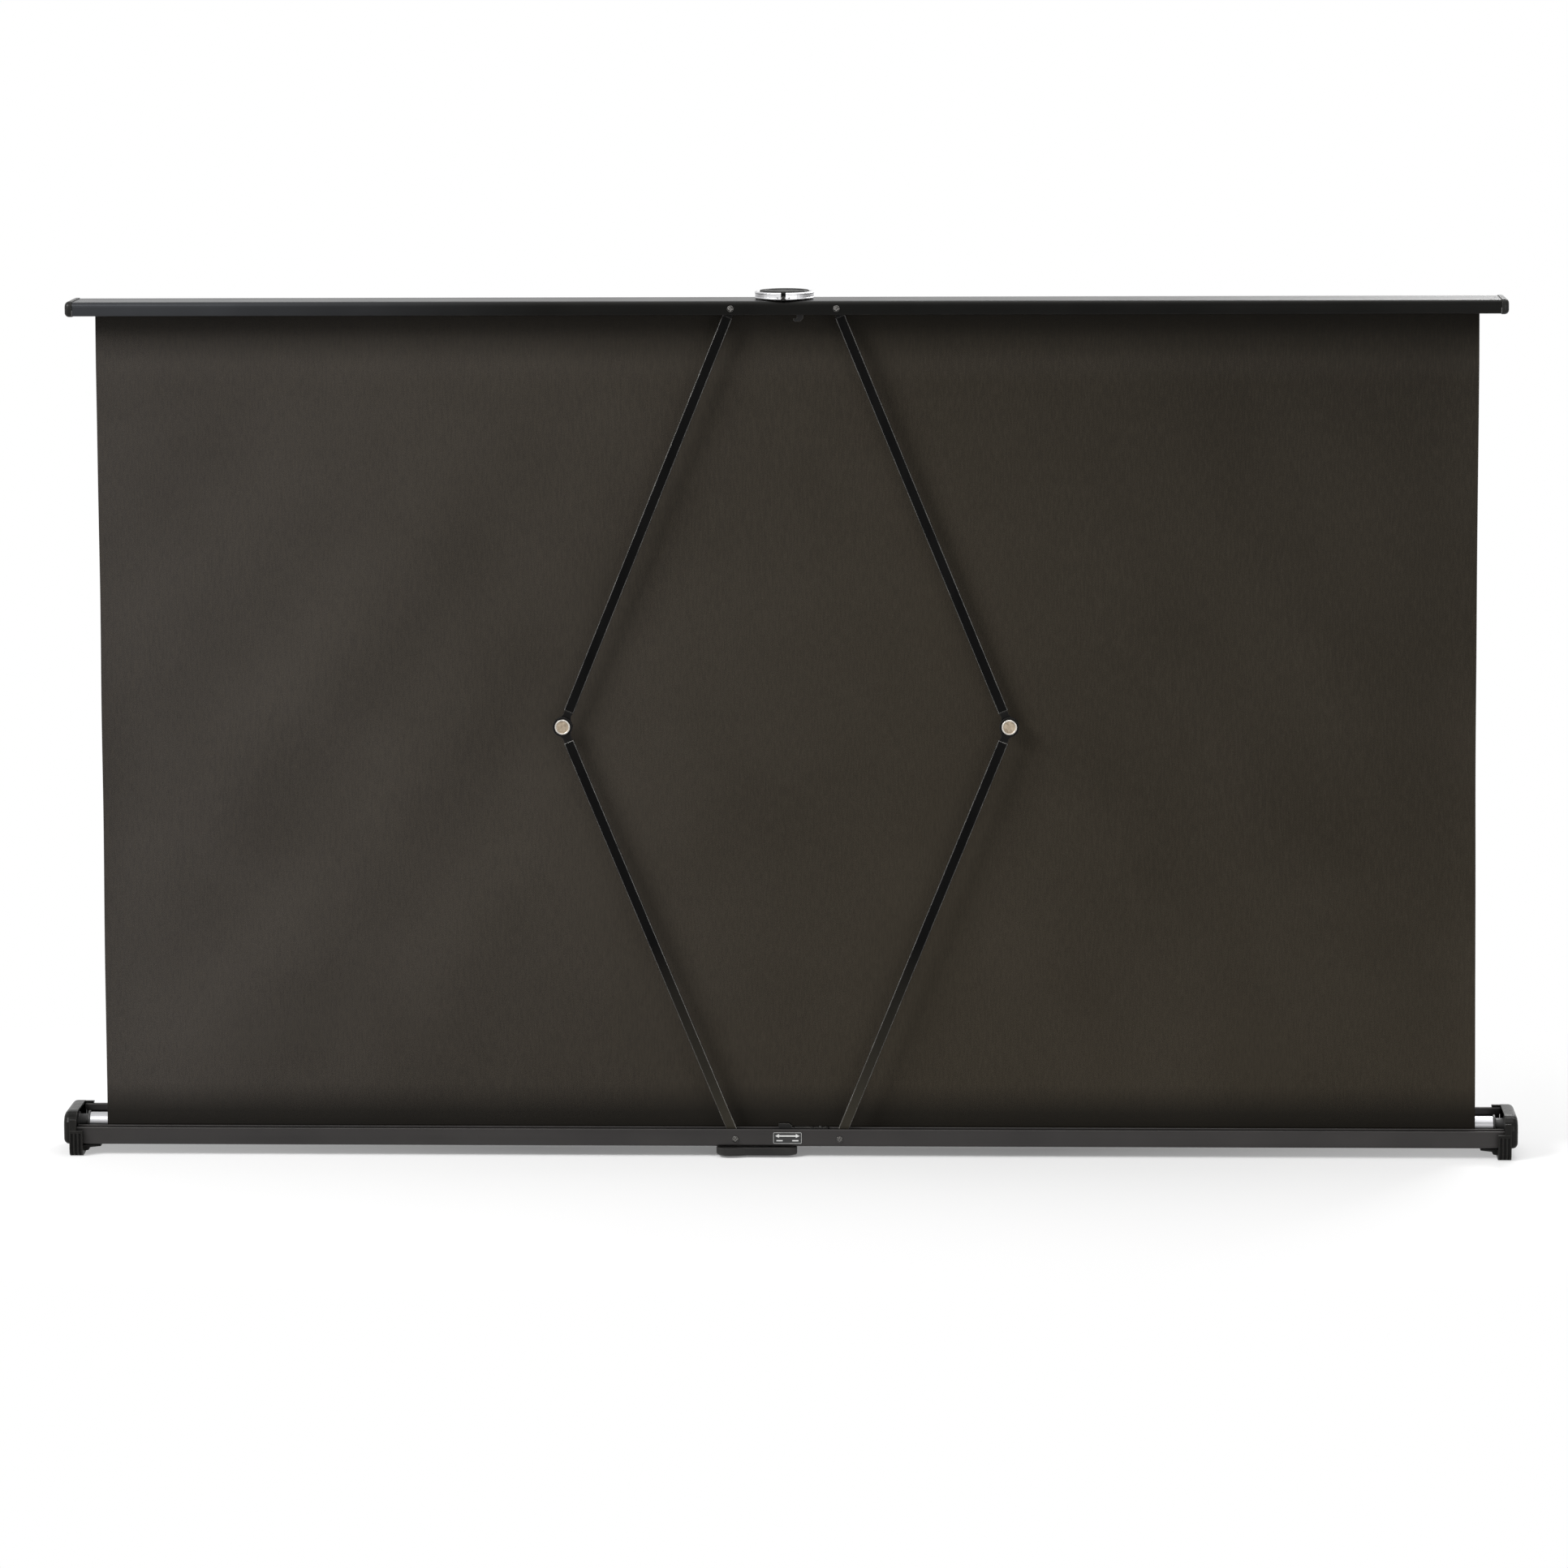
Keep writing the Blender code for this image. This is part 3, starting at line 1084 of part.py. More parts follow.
def build_pull_ring(finish):
    """Open ring whose two ends face the lug; it lies flat round the cap."""
    half_gap = math.degrees(RING_GAP / 2 / RING_RADIUS)
    low = BAR_TOP + RING_LIFT
    high = low + RING_HEIGHT
    half = RING_WIDTH / 2
    chamfer = RING_CHAMFER
    middle = (low + high) / 2
    groove_low = middle - RING_GROOVE_HEIGHT / 2
    groove_high = middle + RING_GROOVE_HEIGHT / 2
    steps = ROUND_STEPS * 3 // 2
    rings = []
    for index in range(steps + 1):
        angle = math.radians(-90 + half_gap + (360 - 2 * half_gap) * index / steps)
        ring = []
        floor = half
        if 0 < index < steps:
            floor -= RING_GROOVE_DEPTH
        section = [(half - chamfer, low), (half, low + chamfer), (half, groove_low - RING_GROOVE_DEPTH),
                   (floor, groove_low), (floor, groove_high), (half, groove_high + RING_GROOVE_DEPTH),
                   (half, high - chamfer), (half - chamfer, high), (-half + chamfer, high),
                   (-half, high - chamfer), (-half, low + chamfer), (-half + chamfer, low)]
        for offset, z in section:
            radius = RING_RADIUS + offset
            ring.append((radius * math.cos(angle), REAR_Y + RING_CENTRE_U + radius * math.sin(angle), z))
        rings.append(ring)
    bm = bmesh.new()
    loft(bm, rings)
    ring_object = add_object("pull_ring", bm, finish, smooth=True)
    bm = bmesh.new()
    hole = PULL_PIN_RADIUS + GAP
    reach = PULL_PIN_LENGTH / 2 + GAP
    turned(bm, [(hole, -reach), (hole, reach)], sideways(REAR_Y + RING_AXIS_U, RING_AXIS_Z),
           SMALL_ROUND_STEPS)
    cut_with(ring_object, "pin_hole", bm)
    return ring_object


def build_pull_pin(finish):
    bm = bmesh.new()
    reach = PULL_PIN_LENGTH / 2
    turned(bm, [(PULL_PIN_RADIUS, -reach), (PULL_PIN_RADIUS, reach)],
           sideways(REAR_Y + RING_AXIS_U, RING_AXIS_Z), SMALL_ROUND_STEPS)
    return add_object("pull_pin", bm, finish, smooth=True)


# Feet

def build_foot(name, side, finish):
    """Swing-out foot: a leg under the case, a gusset, and an upright ribbed grip behind."""
    axis_x = side * FOOT_AXIS_X
    half = FOOT_WIDTH / 2
    rear = -(GRIP_INNER + GRIP_THICKNESS)
    front = FOOT_REACH - FOOT_PIVOT_DEPTH

    def place(y, z, x):
        return (axis_x + side * x, FOOT_AXIS_Y + y, z)

    def end_on(x, z, y):
        return (axis_x + side * x, FOOT_AXIS_Y + y, z)

    toe = FOOT_TOE_HEIGHT
    arch = FOOT_PAD_HEIGHT
    outline = arc((rear + FOOT_HEEL_RADIUS, FOOT_HEEL_RADIUS), FOOT_HEEL_RADIUS, 180, 270)
    outline += [(-GRIP_INNER + FOOT_HEEL_RADIUS, 0), (0, arch), (front - toe, arch)]
    outline += arc((front - (toe - arch) / 2, (toe + arch) / 2), (toe - arch) / 2, -90, 90, ARC_STEPS + 1)
    outline += [(CASE_DEPTH - FOOT_PIVOT_DEPTH + toe, FOOT_HEIGHT), (-GRIP_INNER, FOOT_HEIGHT)]
    outline += [(-GRIP_INNER, GRIP_HEIGHT), (rear, GRIP_HEIGHT)]
    bm = bmesh.new()
    prism(bm, outline, place, -half, half)
    foot = add_object(name, bm, finish)
    bm = bmesh.new()
    gusset_front = FOOT_GUSSET_LENGTH / 2
    section = [(0, FOOT_HEIGHT / 4)]
    section += [(-half - FOOT_HEIGHT * out, FOOT_HEIGHT * up)
                for out, up in (GUSSET_LOW_SHARES, GUSSET_MIDDLE_SHARES)]
    section += [(-FOOT_GUSSET_REACH, FOOT_HEIGHT * GUSSET_EDGE_SHARE), (-FOOT_GUSSET_REACH, FOOT_HEIGHT),
                (0, FOOT_HEIGHT)]
    prism(bm, section, end_on, -FOOT_PIVOT_DEPTH * GUSSET_REAR_SHARE, gusset_front)
    join_with(foot, "gusset", bm)
    bm = bmesh.new()
    tongue = rounded_outline((0, GRIP_HEIGHT - CUT_OVERRUN), (half, GRIP_TONGUE_HEIGHT),
                             [GRIP_FIN_WIDTH / 2] * 4)
    prism(bm, tongue, end_on, rear + GAP, rear + GAP + GRIP_TONGUE_THICKNESS)
    join_with(foot, "tongue", bm)
    groove = (FOOT_WIDTH - GRIP_FIN_COUNT * GRIP_FIN_WIDTH) / (GRIP_FIN_COUNT - 1)
    for index in range(GRIP_FIN_COUNT - 1):
        x = -half + GRIP_FIN_WIDTH + index * (groove + GRIP_FIN_WIDTH)
        bm = bmesh.new()
        outline = [(rear - CUT_OVERRUN, -CUT_OVERRUN), (rear + GRIP_GROOVE_DEPTH + FOOT_HEEL_RADIUS / 2,
                                                        -CUT_OVERRUN),
                   (rear + GRIP_GROOVE_DEPTH + FOOT_HEEL_RADIUS / 4, FOOT_HEEL_RADIUS / 3),
                   (rear + GRIP_GROOVE_DEPTH, FOOT_HEEL_RADIUS), (rear + GRIP_GROOVE_DEPTH, GRIP_GROOVE_TOP),
                   (rear - CUT_OVERRUN, GRIP_GROOVE_TOP)]
        prism(bm, outline, place, x, x + groove)
        cut_with(foot, "groove", bm)
    bm = bmesh.new()
    head = FOOT_SCREW_HEAD_RADIUS + GAP
    hole = FOOT_SCREW_RADIUS + GAP
    turned(bm, [(head, -CUT_OVERRUN), (head, FOOT_SCREW_RECESS + GAP), (hole, FOOT_SCREW_RECESS + GAP),
                (hole, FOOT_HEIGHT + CUT_OVERRUN)], upright(axis_x, FOOT_AXIS_Y), SMALL_ROUND_STEPS)
    cut_with(foot, "screw_hole", bm)
    bm = bmesh.new()
    pad = FOOT_PAD_RADIUS + GAP
    turned(bm, [(pad, -CUT_OVERRUN), (pad, FOOT_PAD_HEIGHT * PAD_SEAT_SHARE)],
           upright(axis_x, FOOT_AXIS_Y + front - FOOT_PAD_INSET), SMALL_ROUND_STEPS)
    cut_with(foot, "pad_seat", bm)
    return foot


def build_foot_pad(name, side, finish):
    """Rubber pad under the foot's toe."""
    front = FOOT_REACH - FOOT_PIVOT_DEPTH
    bm = bmesh.new()
    high = FOOT_PAD_HEIGHT * PAD_SEAT_SHARE - GAP
    turned(bm, [(FOOT_PAD_RADIUS - GAP, 0), (FOOT_PAD_RADIUS, FOOT_PAD_HEIGHT / 2), (FOOT_PAD_RADIUS, high)],
           upright(side * FOOT_AXIS_X, FOOT_AXIS_Y + front - FOOT_PAD_INSET), SMALL_ROUND_STEPS)
    return add_object(name, bm, finish, smooth=True)


def build_foot_screw(name, side, finish):
    """The upright screw that a foot turns on."""
    head = FOOT_SCREW_RECESS - FOOT_SCREW_HEAD_HEIGHT
    profile = [(FOOT_SCREW_HEAD_RADIUS * FOOT_SCREW_FACE_SHARE, head),
               (FOOT_SCREW_HEAD_RADIUS, head + FOOT_SCREW_HEAD_HEIGHT / 2),
               (FOOT_SCREW_HEAD_RADIUS, FOOT_SCREW_RECESS), (FOOT_SCREW_RADIUS, FOOT_SCREW_RECESS),
               (FOOT_SCREW_RADIUS, FOOT_SCREW_RECESS + FOOT_SCREW_LENGTH)]
    place = upright(side * FOOT_AXIS_X, FOOT_AXIS_Y)
    bm = bmesh.new()
    turned(bm, profile, place, SMALL_ROUND_STEPS)
    screw = add_object(name, bm, finish, smooth=True)
    cut_cross(screw, place, FOOT_CROSS_REACH, FOOT_CROSS_WIDTH, head - CUT_OVERRUN, head + FOOT_CROSS_DEPTH)
    return screw


def main():
    clear_scene()
    case_black = finish_material("case_black", (0.045, 0.042, 0.042), 0.42, 0.55)
    cap_black = finish_material("cap_black", (0.06, 0.058, 0.056), 0.45, 0.0)
    arm_black = finish_material("arm_black", (0.03, 0.03, 0.032), 0.4, 0.3)
    fitting_black = finish_material("fitting_black", (0.02, 0.02, 0.02), 0.5, 0.2)
    steel = finish_material("steel", (0.5, 0.5, 0.5), 0.35, 1.0)
    silver = finish_material("silver_tube", (0.7, 0.7, 0.72), 0.3, 1.0)
    ring_silver = finish_material("ring_silver", (0.55, 0.55, 0.56), 0.32, 0.9)
    cloth_black = finish_material("cloth_black", (0.032, 0.027, 0.022), 0.85, 0.0)
    rubber = finish_material("rubber", (0.02, 0.02, 0.02), 0.8, 0.0)
    rivet_tan = finish_material("rivet", (0.45, 0.4, 0.34), 0.35, 0.9)

    channel = build_case_channel(case_black)
    for side, word in SIDES:
        cap = build_case_cap("case_cap_" + word, side, cap_black)
        build_cap_screw("case_cap_screw_" + word, side, (channel, cap), steel)
        build_roller_bearing("roller_bearing_" + word, side, fitting_black)
        build_pivot_set(word, "lower", LOWER_PIVOT_Z, CASE_WALL, LOWER_LAYER_U, side, fitting_black, steel)
        build_foot_screw("foot_screw_" + word, side, steel)
    build_spring_shaft(steel)
    build_lock_guide(steel)

    roller = add_pivot("roller_axis", 0, REAR_Y + ROLLER_U, ROLLER_Z)
    hang(build_roller_tube(silver), roller)
    for side, word in SIDES:
        hang(build_roller_plug("roller_plug_" + word, side, fitting_black), roller)
    hang(build_motor_spring(steel), roller)
    build_cloth(cloth_black)

    slide = add_pivot("lock_slide_axis", 0, REAR_Y + COMPARTMENT_MID_U, SLIDE_Z)
    hang(build_lock_slide(fitting_black), slide)
    hang(build_lock_handle(cap_black), slide)

    for side, word in SIDES:
        foot_axis = add_pivot("foot_axis_" + word, side * FOOT_AXIS_X, FOOT_AXIS_Y, 0)
        hang(build_foot("foot_" + word, side, cap_black), foot_axis)
        hang(build_foot_pad("foot_pad_" + word, side, rubber), foot_axis)

    bar_pivot = None
    pivot_hole = PIVOT_SHANK_RADIUS + GAP
    knee_hole = KNEE_SHANK_RADIUS + GAP
    for side, word in SIDES:
        low_axis = add_pivot("lower_arm_axis_" + word, side * PIVOT_HALF_SPACING, REAR_Y, LOWER_PIVOT_Z)
        place = arm_place(side * PIVOT_HALF_SPACING, LOWER_PIVOT_Z, side * ARM_LEAN)
        arm_end = ARM_LENGTH - ARM_SETBACK_AT_KNEE
        hang(build_arm("lower_arm_" + word, place, LOWER_LAYER_U, ARM_SETBACK_AT_PIVOT, arm_end, arm_black),
             low_axis)
        hang(build_fitting("lower_arm_eye_" + word, place, LOWER_LAYER_U, 0, EYE_RADIUS, pivot_hole, 1,
                           ARM_SETBACK_AT_PIVOT, fitting_black), low_axis)
        hang(build_fitting("lower_knee_hub_" + word, place, LOWER_LAYER_U, ARM_LENGTH, KNEE_HUB_RADIUS,
                           knee_hole, -1, ARM_SETBACK_AT_KNEE, fitting_black), low_axis)
        hang(build_knee_rivet("knee_rivet_" + word, side * KNEE_X, KNEE_Z, rivet_tan), low_axis)

        knee_axis = add_pivot("knee_axis_" + word, side * (KNEE_X - PIVOT_HALF_SPACING), 0,
                              KNEE_Z - LOWER_PIVOT_Z)
        knee_axis.parent = low_axis
        place = arm_place(side * KNEE_X, KNEE_Z, -side * ARM_LEAN)
        arm_end = ARM_LENGTH - ARM_SETBACK_AT_PIVOT
        hang(build_arm("upper_arm_" + word, place, UPPER_LAYER_U, ARM_SETBACK_AT_KNEE, arm_end, arm_black),
             knee_axis)
        hang(build_fitting("upper_arm_eye_" + word, place, UPPER_LAYER_U, ARM_LENGTH, EYE_RADIUS,
                           pivot_hole, -1, ARM_SETBACK_AT_PIVOT, fitting_black), knee_axis)
        hang(build_fitting("upper_knee_hub_" + word, place, UPPER_LAYER_U, 0, KNEE_HUB_RADIUS,
                           knee_hole, 1, ARM_SETBACK_AT_KNEE, fitting_black), knee_axis)
        if side < 0:
            bar_pivot = add_pivot("bar_axis", KNEE_X - PIVOT_HALF_SPACING, 0, UPPER_PIVOT_Z - KNEE_Z)
            bar_pivot.parent = knee_axis

    hang(build_bar(case_black), bar_pivot)
    for side, word in SIDES:
        hang(build_bar_cap("bar_cap_" + word, side, cap_black), bar_pivot)
        pieces = build_pivot_set(word, "upper", UPPER_PIVOT_Z, BAR_WALL, UPPER_LAYER_U, side, fitting_black,
                                 steel)
        for piece in pieces:
            hang(piece, bar_pivot)
    hang(build_clamp(arm_black), bar_pivot)
    hang(build_latch_tongue(fitting_black), bar_pivot)
    hang(build_pull_base(fitting_black), bar_pivot)
    hang(build_pull_cap(fitting_black), bar_pivot)
    hang(build_pull_pin(steel), bar_pivot)

    ring_axis = add_pivot("ring_axis", PIVOT_HALF_SPACING, RING_AXIS_U, RING_AXIS_Z - UPPER_PIVOT_Z)
    ring_axis.parent = bar_pivot
    hang(build_pull_ring(ring_silver), ring_axis)


main()
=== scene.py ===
import math

import bmesh
import bpy
from mathutils import Matrix, Vector, noise


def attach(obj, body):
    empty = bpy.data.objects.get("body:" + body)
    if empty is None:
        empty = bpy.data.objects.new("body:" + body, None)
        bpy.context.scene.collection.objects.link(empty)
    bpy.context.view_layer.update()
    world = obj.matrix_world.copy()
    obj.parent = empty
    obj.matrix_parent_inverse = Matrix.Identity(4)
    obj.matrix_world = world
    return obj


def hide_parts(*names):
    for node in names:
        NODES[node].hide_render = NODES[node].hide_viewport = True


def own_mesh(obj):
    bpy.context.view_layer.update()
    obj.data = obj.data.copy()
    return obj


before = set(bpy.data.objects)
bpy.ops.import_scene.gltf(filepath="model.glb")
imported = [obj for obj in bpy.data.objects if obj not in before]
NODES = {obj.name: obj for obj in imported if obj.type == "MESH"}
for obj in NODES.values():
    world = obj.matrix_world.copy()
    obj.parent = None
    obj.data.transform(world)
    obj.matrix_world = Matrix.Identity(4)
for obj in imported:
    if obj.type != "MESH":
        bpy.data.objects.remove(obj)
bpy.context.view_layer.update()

SIDES = ("left", "right")

# Places and sizes that part.py gives, in metres
REAR_Y = -0.0591075
ROLLER_Y = REAR_Y + 0.029
ROLLER_Z = 0.0226
KNEE_X = 0.18519
KNEE_Z = 0.362401
CLOTH_Y = REAR_Y + 0.02045
CLOTH_TOP = 0.7121
CLOTH_WIDTH = 1.147

# Camera, at the photograph's viewing angle, in metres, radians and millimetres of lens
CAMERA_PLACE = (0.1929, -5.0, 1.0788)
CAMERA_PITCH = 0.1324
CAMERA_YAW = -0.0392
CAMERA_ROLL = -0.005
CAMERA_LENS = 138.6
CAMERA_SHIFT = -0.08


def add_camera():
    """Aim the camera by its turns down, sideways and round its own axis, and make it the scene's."""
    pitch, yaw, roll = CAMERA_PITCH, CAMERA_YAW, CAMERA_ROLL
    forward = Vector((math.sin(yaw) * math.cos(pitch), math.cos(yaw) * math.cos(pitch), -math.sin(pitch)))
    right = Vector((math.cos(yaw), -math.sin(yaw), 0))
    up = right.cross(forward)
    turned_right = right * math.cos(roll) + up * math.sin(roll)
    turned_up = up * math.cos(roll) - right * math.sin(roll)
    data = bpy.data.cameras.new("camera")
    data.lens = CAMERA_LENS
    data.sensor_width = 36
    data.shift_y = CAMERA_SHIFT
    data.clip_start = 0.05
    data.clip_end = 60
    camera = bpy.data.objects.new("camera", data)
    bpy.context.scene.collection.objects.link(camera)
    matrix = Matrix((turned_right, turned_up, -forward)).transposed().to_4x4()
    matrix.translation = CAMERA_PLACE
    camera.matrix_world = matrix
    bpy.context.scene.camera = camera


# Materials. Colours are linear and sizes are in metres. The edges that show wear and painted highlights are
# found with a radius of the reach below times their rounding.

ALONG_X = (0.02, 1, 1)
ALONG_Z = (1, 1, 0.05)
ROUND = (0.3, 1, 1)
WEAR_AND_HIGHLIGHT_REACH = 1.5


class Paint:
    """A material's node tree with short ways to add what the finishes share."""

    def __init__(self, name, metallic=0.0):
        self.material = bpy.data.materials.new(name)
        self.material.use_nodes = True
        self.tree = self.material.node_tree
        self.shader = self.tree.nodes["Principled BSDF"]
        self.place = self.node("ShaderNodeTexCoord").outputs["Object"]
        self.fix("Metallic", metallic)

    def fix(self, name, value):
        """Give one input of the shader a plain value."""
        self.shader.inputs[name].default_value = value

    def node(self, kind, **values):
        made = self.tree.nodes.new(kind)
        for name, value in values.items():
            setattr(made, name, value)
        return made

    def link(self, start, end):
        self.tree.links.new(start, end)

    def stretched(self, scale):
        mapping = self.node("ShaderNodeMapping")
        mapping.inputs["Scale"].default_value = scale
        self.link(self.place, mapping.inputs["Vector"])
        return mapping.outputs["Vector"]

    def axes(self):
        """The object's own X, Y and Z, by name."""
        split = self.node("ShaderNodeSeparateXYZ")
        self.link(self.place, split.inputs["Vector"])
        return split.outputs

    def noise(self, scale, detail=4.0, stretch=None, roughness=0.55):
        made = self.node("ShaderNodeTexNoise")
        made.inputs["Scale"].default_value = scale
        made.inputs["Detail"].default_value = detail
        made.inputs["Roughness"].default_value = roughness
        self.link(self.stretched(stretch) if stretch else self.place, made.inputs["Vector"])
        return made.outputs["Fac"]

    def ramp(self, value, dark, light, start=0.35, end=0.65):
        """From the dark colour where the value is at its start to the light one at its end."""
        made = self.node("ShaderNodeValToRGB")
        stops = ((start, dark), (end, light))
        for element, (place, colour) in zip(made.color_ramp.elements, stops):
            element.position = place
            element.color = (*colour, 1)
        self.link(value, made.inputs["Fac"])
        return made.outputs["Color"]

    def spread(self, value, low, high, start=0.3, end=0.7):
        """From low where the value is at its start to high at its end, and held beyond them."""
        made = self.node("ShaderNodeMapRange")
        made.inputs["From Min"].default_value = start
        made.inputs["From Max"].default_value = end
        made.inputs["To Min"].default_value = low
        made.inputs["To Max"].default_value = high
        self.link(value, made.inputs["Value"])
        return made.outputs["Result"]

    def calculate(self, operation, first, second=0.0):
        made = self.node("ShaderNodeMath", operation=operation)
        for index, value in enumerate((first, second)):
            if isinstance(value, (int, float)):
                made.inputs[index].default_value = value
            else:
                self.link(value, made.inputs[index])
        return made.outputs["Value"]

    def mix(self, factor, first, second, blend="MIX"):
        made = self.node("ShaderNodeMix", data_type="RGBA", blend_type=blend)
        for name, value in (("Factor", factor), ("A", first), ("B", second)):
            socket = [s for s in made.inputs if s.name == name and s.enabled][0]
            if isinstance(value, tuple):
                socket.default_value = (*value, 1)
            elif isinstance(value, (int, float)):
                socket.default_value = value
            else:
                self.link(value, socket)
        return [s for s in made.outputs if s.enabled][0]

    def colour(self, output):
        self.link(output, self.shader.inputs["Base Color"])

    def roughness(self, output):
        self.link(output, self.shader.inputs["Roughness"])

    def bump(self, height, distance, strength=1.0, edge=0.0):
        """Bump from a height, on top of rounded edges of the radius given."""
        made = self.node("ShaderNodeBump")
        made.inputs["Distance"].default_value = distance
        made.inputs["Strength"].default_value = strength
        self.link(height, made.inputs["Height"])
        if edge:
            rounding = self.node("ShaderNodeBevel", samples=4)
            rounding.inputs["Radius"].default_value = edge
            self.link(rounding.outputs["Normal"], made.inputs["Normal"])
        self.link(made.outputs["Normal"], self.shader.inputs["Normal"])

    def edge_mask(self, radius):
        """About 1 on edges that are sharper than the radius, and 0 on faces."""
        rounding = self.node("ShaderNodeBevel", samples=4)
        rounding.inputs["Radius"].default_value = radius
        geometry = self.node("ShaderNodeNewGeometry")
        product = self.node("ShaderNodeVectorMath", operation="DOT_PRODUCT")
        self.link(rounding.outputs["Normal"], product.inputs[0])
        self.link(geometry.outputs["Normal"], product.inputs[1])
        return self.spread(product.outputs["Value"], 1.0, 0.0, 0.85, 0.995)


def brushed(name, dark, light, roughness, metallic, edge, stretch=None, wear_and_highlight=None, wear_and_highlight_share=0.35,
            lighter_end=None):
    """A drawn or anodised metal: streaks along one direction, faint mottling and lighter edges.

    roughness is a pair of values. The edge colour is partly bare metal worn on the edges and partly a
    painted highlight.
    The lighter end gives a colour, an axis, and the places on it where that colour is full and where it has
    gone.
    """
    paint = Paint(name, metallic=metallic)
    streaks = paint.noise(60, 5, stretch)
    mottle = paint.noise(18, 3)
    both = paint.calculate("ADD", paint.calculate("MULTIPLY", streaks, 0.6),
                           paint.calculate("MULTIPLY", mottle, 0.4))
    colour = paint.ramp(both, dark, light)
    if lighter_end:
        end_colour, axis, full, gone = lighter_end
        share = paint.calculate("MULTIPLY", paint.spread(paint.axes()[axis], 1.0, 0.0, full, gone),
                                paint.spread(both, 0.7, 1.0))
        colour = paint.mix(share, colour, end_colour)
    if wear_and_highlight:
        mask = paint.calculate("MULTIPLY", paint.edge_mask(edge * WEAR_AND_HIGHLIGHT_REACH),
                               paint.spread(paint.noise(90, 3), wear_and_highlight_share * 0.4, wear_and_highlight_share))
        colour = paint.mix(mask, colour, wear_and_highlight)
    paint.colour(colour)
    paint.roughness(paint.spread(both, *roughness))
    paint.bump(streaks, 0.00004, 0.6, edge)
    return paint.material


def moulded(name, dark, light, roughness, edge, grain=1400, depth=0.00005, wear_and_highlight=None, gloss=0.5):
    """Moulded plastic with a fine spark-eroded grain."""
    paint = Paint(name)
    paint.fix("Specular IOR Level", gloss)
    colour = paint.ramp(paint.noise(30, 4), dark, light)
    if wear_and_highlight:
        mask = paint.calculate("MULTIPLY", paint.edge_mask(edge * WEAR_AND_HIGHLIGHT_REACH), 0.45)
        colour = paint.mix(mask, colour, wear_and_highlight)
    paint.colour(colour)
    paint.roughness(paint.spread(paint.noise(220, 3), *roughness))
    paint.bump(paint.noise(grain, 2), depth, 0.7, edge)
    return paint.material


RIVET_DISH_RADIUS = 0.0050
RIVET_RIM_RADIUS = 0.0053


def rivet_material():
    """A bright rim round a dull tan dish, told apart by the distance from the rivet's axis."""
    paint = Paint("rivet", metallic=0.9)
    axes = paint.axes()
    x = paint.calculate("SUBTRACT", paint.calculate("ABSOLUTE", axes["X"]), KNEE_X)
    z = paint.calculate("SUBTRACT", axes["Z"], KNEE_Z)
    far = paint.calculate("SQRT", paint.calculate("ADD", paint.calculate("MULTIPLY", x, x),
                                                  paint.calculate("MULTIPLY", z, z)))
    rim = paint.spread(far, 0.0, 1.0, RIVET_DISH_RADIUS, RIVET_RIM_RADIUS)
    spots = paint.noise(500, 4)
    dish = paint.ramp(spots, (0.26, 0.21, 0.155), (0.42, 0.35, 0.265))
    bright = paint.ramp(spots, (0.5, 0.47, 0.43), (0.68, 0.65, 0.6))
    paint.colour(paint.mix(rim, dish, bright))
    paint.roughness(paint.calculate("SUBTRACT", 0.55, paint.calculate("MULTIPLY", rim, 0.28)))
    paint.bump(spots, 0.00003, 0.6, 0.0002)
    return paint.material


# Where the cloth's tone changes: a lighter band below the bar, painted shade below the bar and above the
# case, and painted shade from grey to olive along X
WEAVE_PITCH = 0.0011
BAND_Z = 0.662
BAND_CORE = 0.004
BAND_REACH = 0.016
PAINTED_SHADE_TOP = (0.664, 0.702)
PAINTED_SHADE_BOTTOM = (0.034, 0.058)
GREY_X = -0.58
OLIVE_X = 0.12


def weave(paint, axes):
    """Height of a plain weave in the X and Z directions, from 0 to 1."""
    turn = 2 * math.pi / WEAVE_PITCH
    across = paint.calculate("SINE", paint.calculate("MULTIPLY", axes["X"], turn))
    along = paint.calculate("SINE", paint.calculate("MULTIPLY", axes["Z"], turn))
    product = paint.calculate("MULTIPLY", across, along)
    return paint.calculate("ADD", paint.calculate("MULTIPLY", product, 0.5), 0.5)


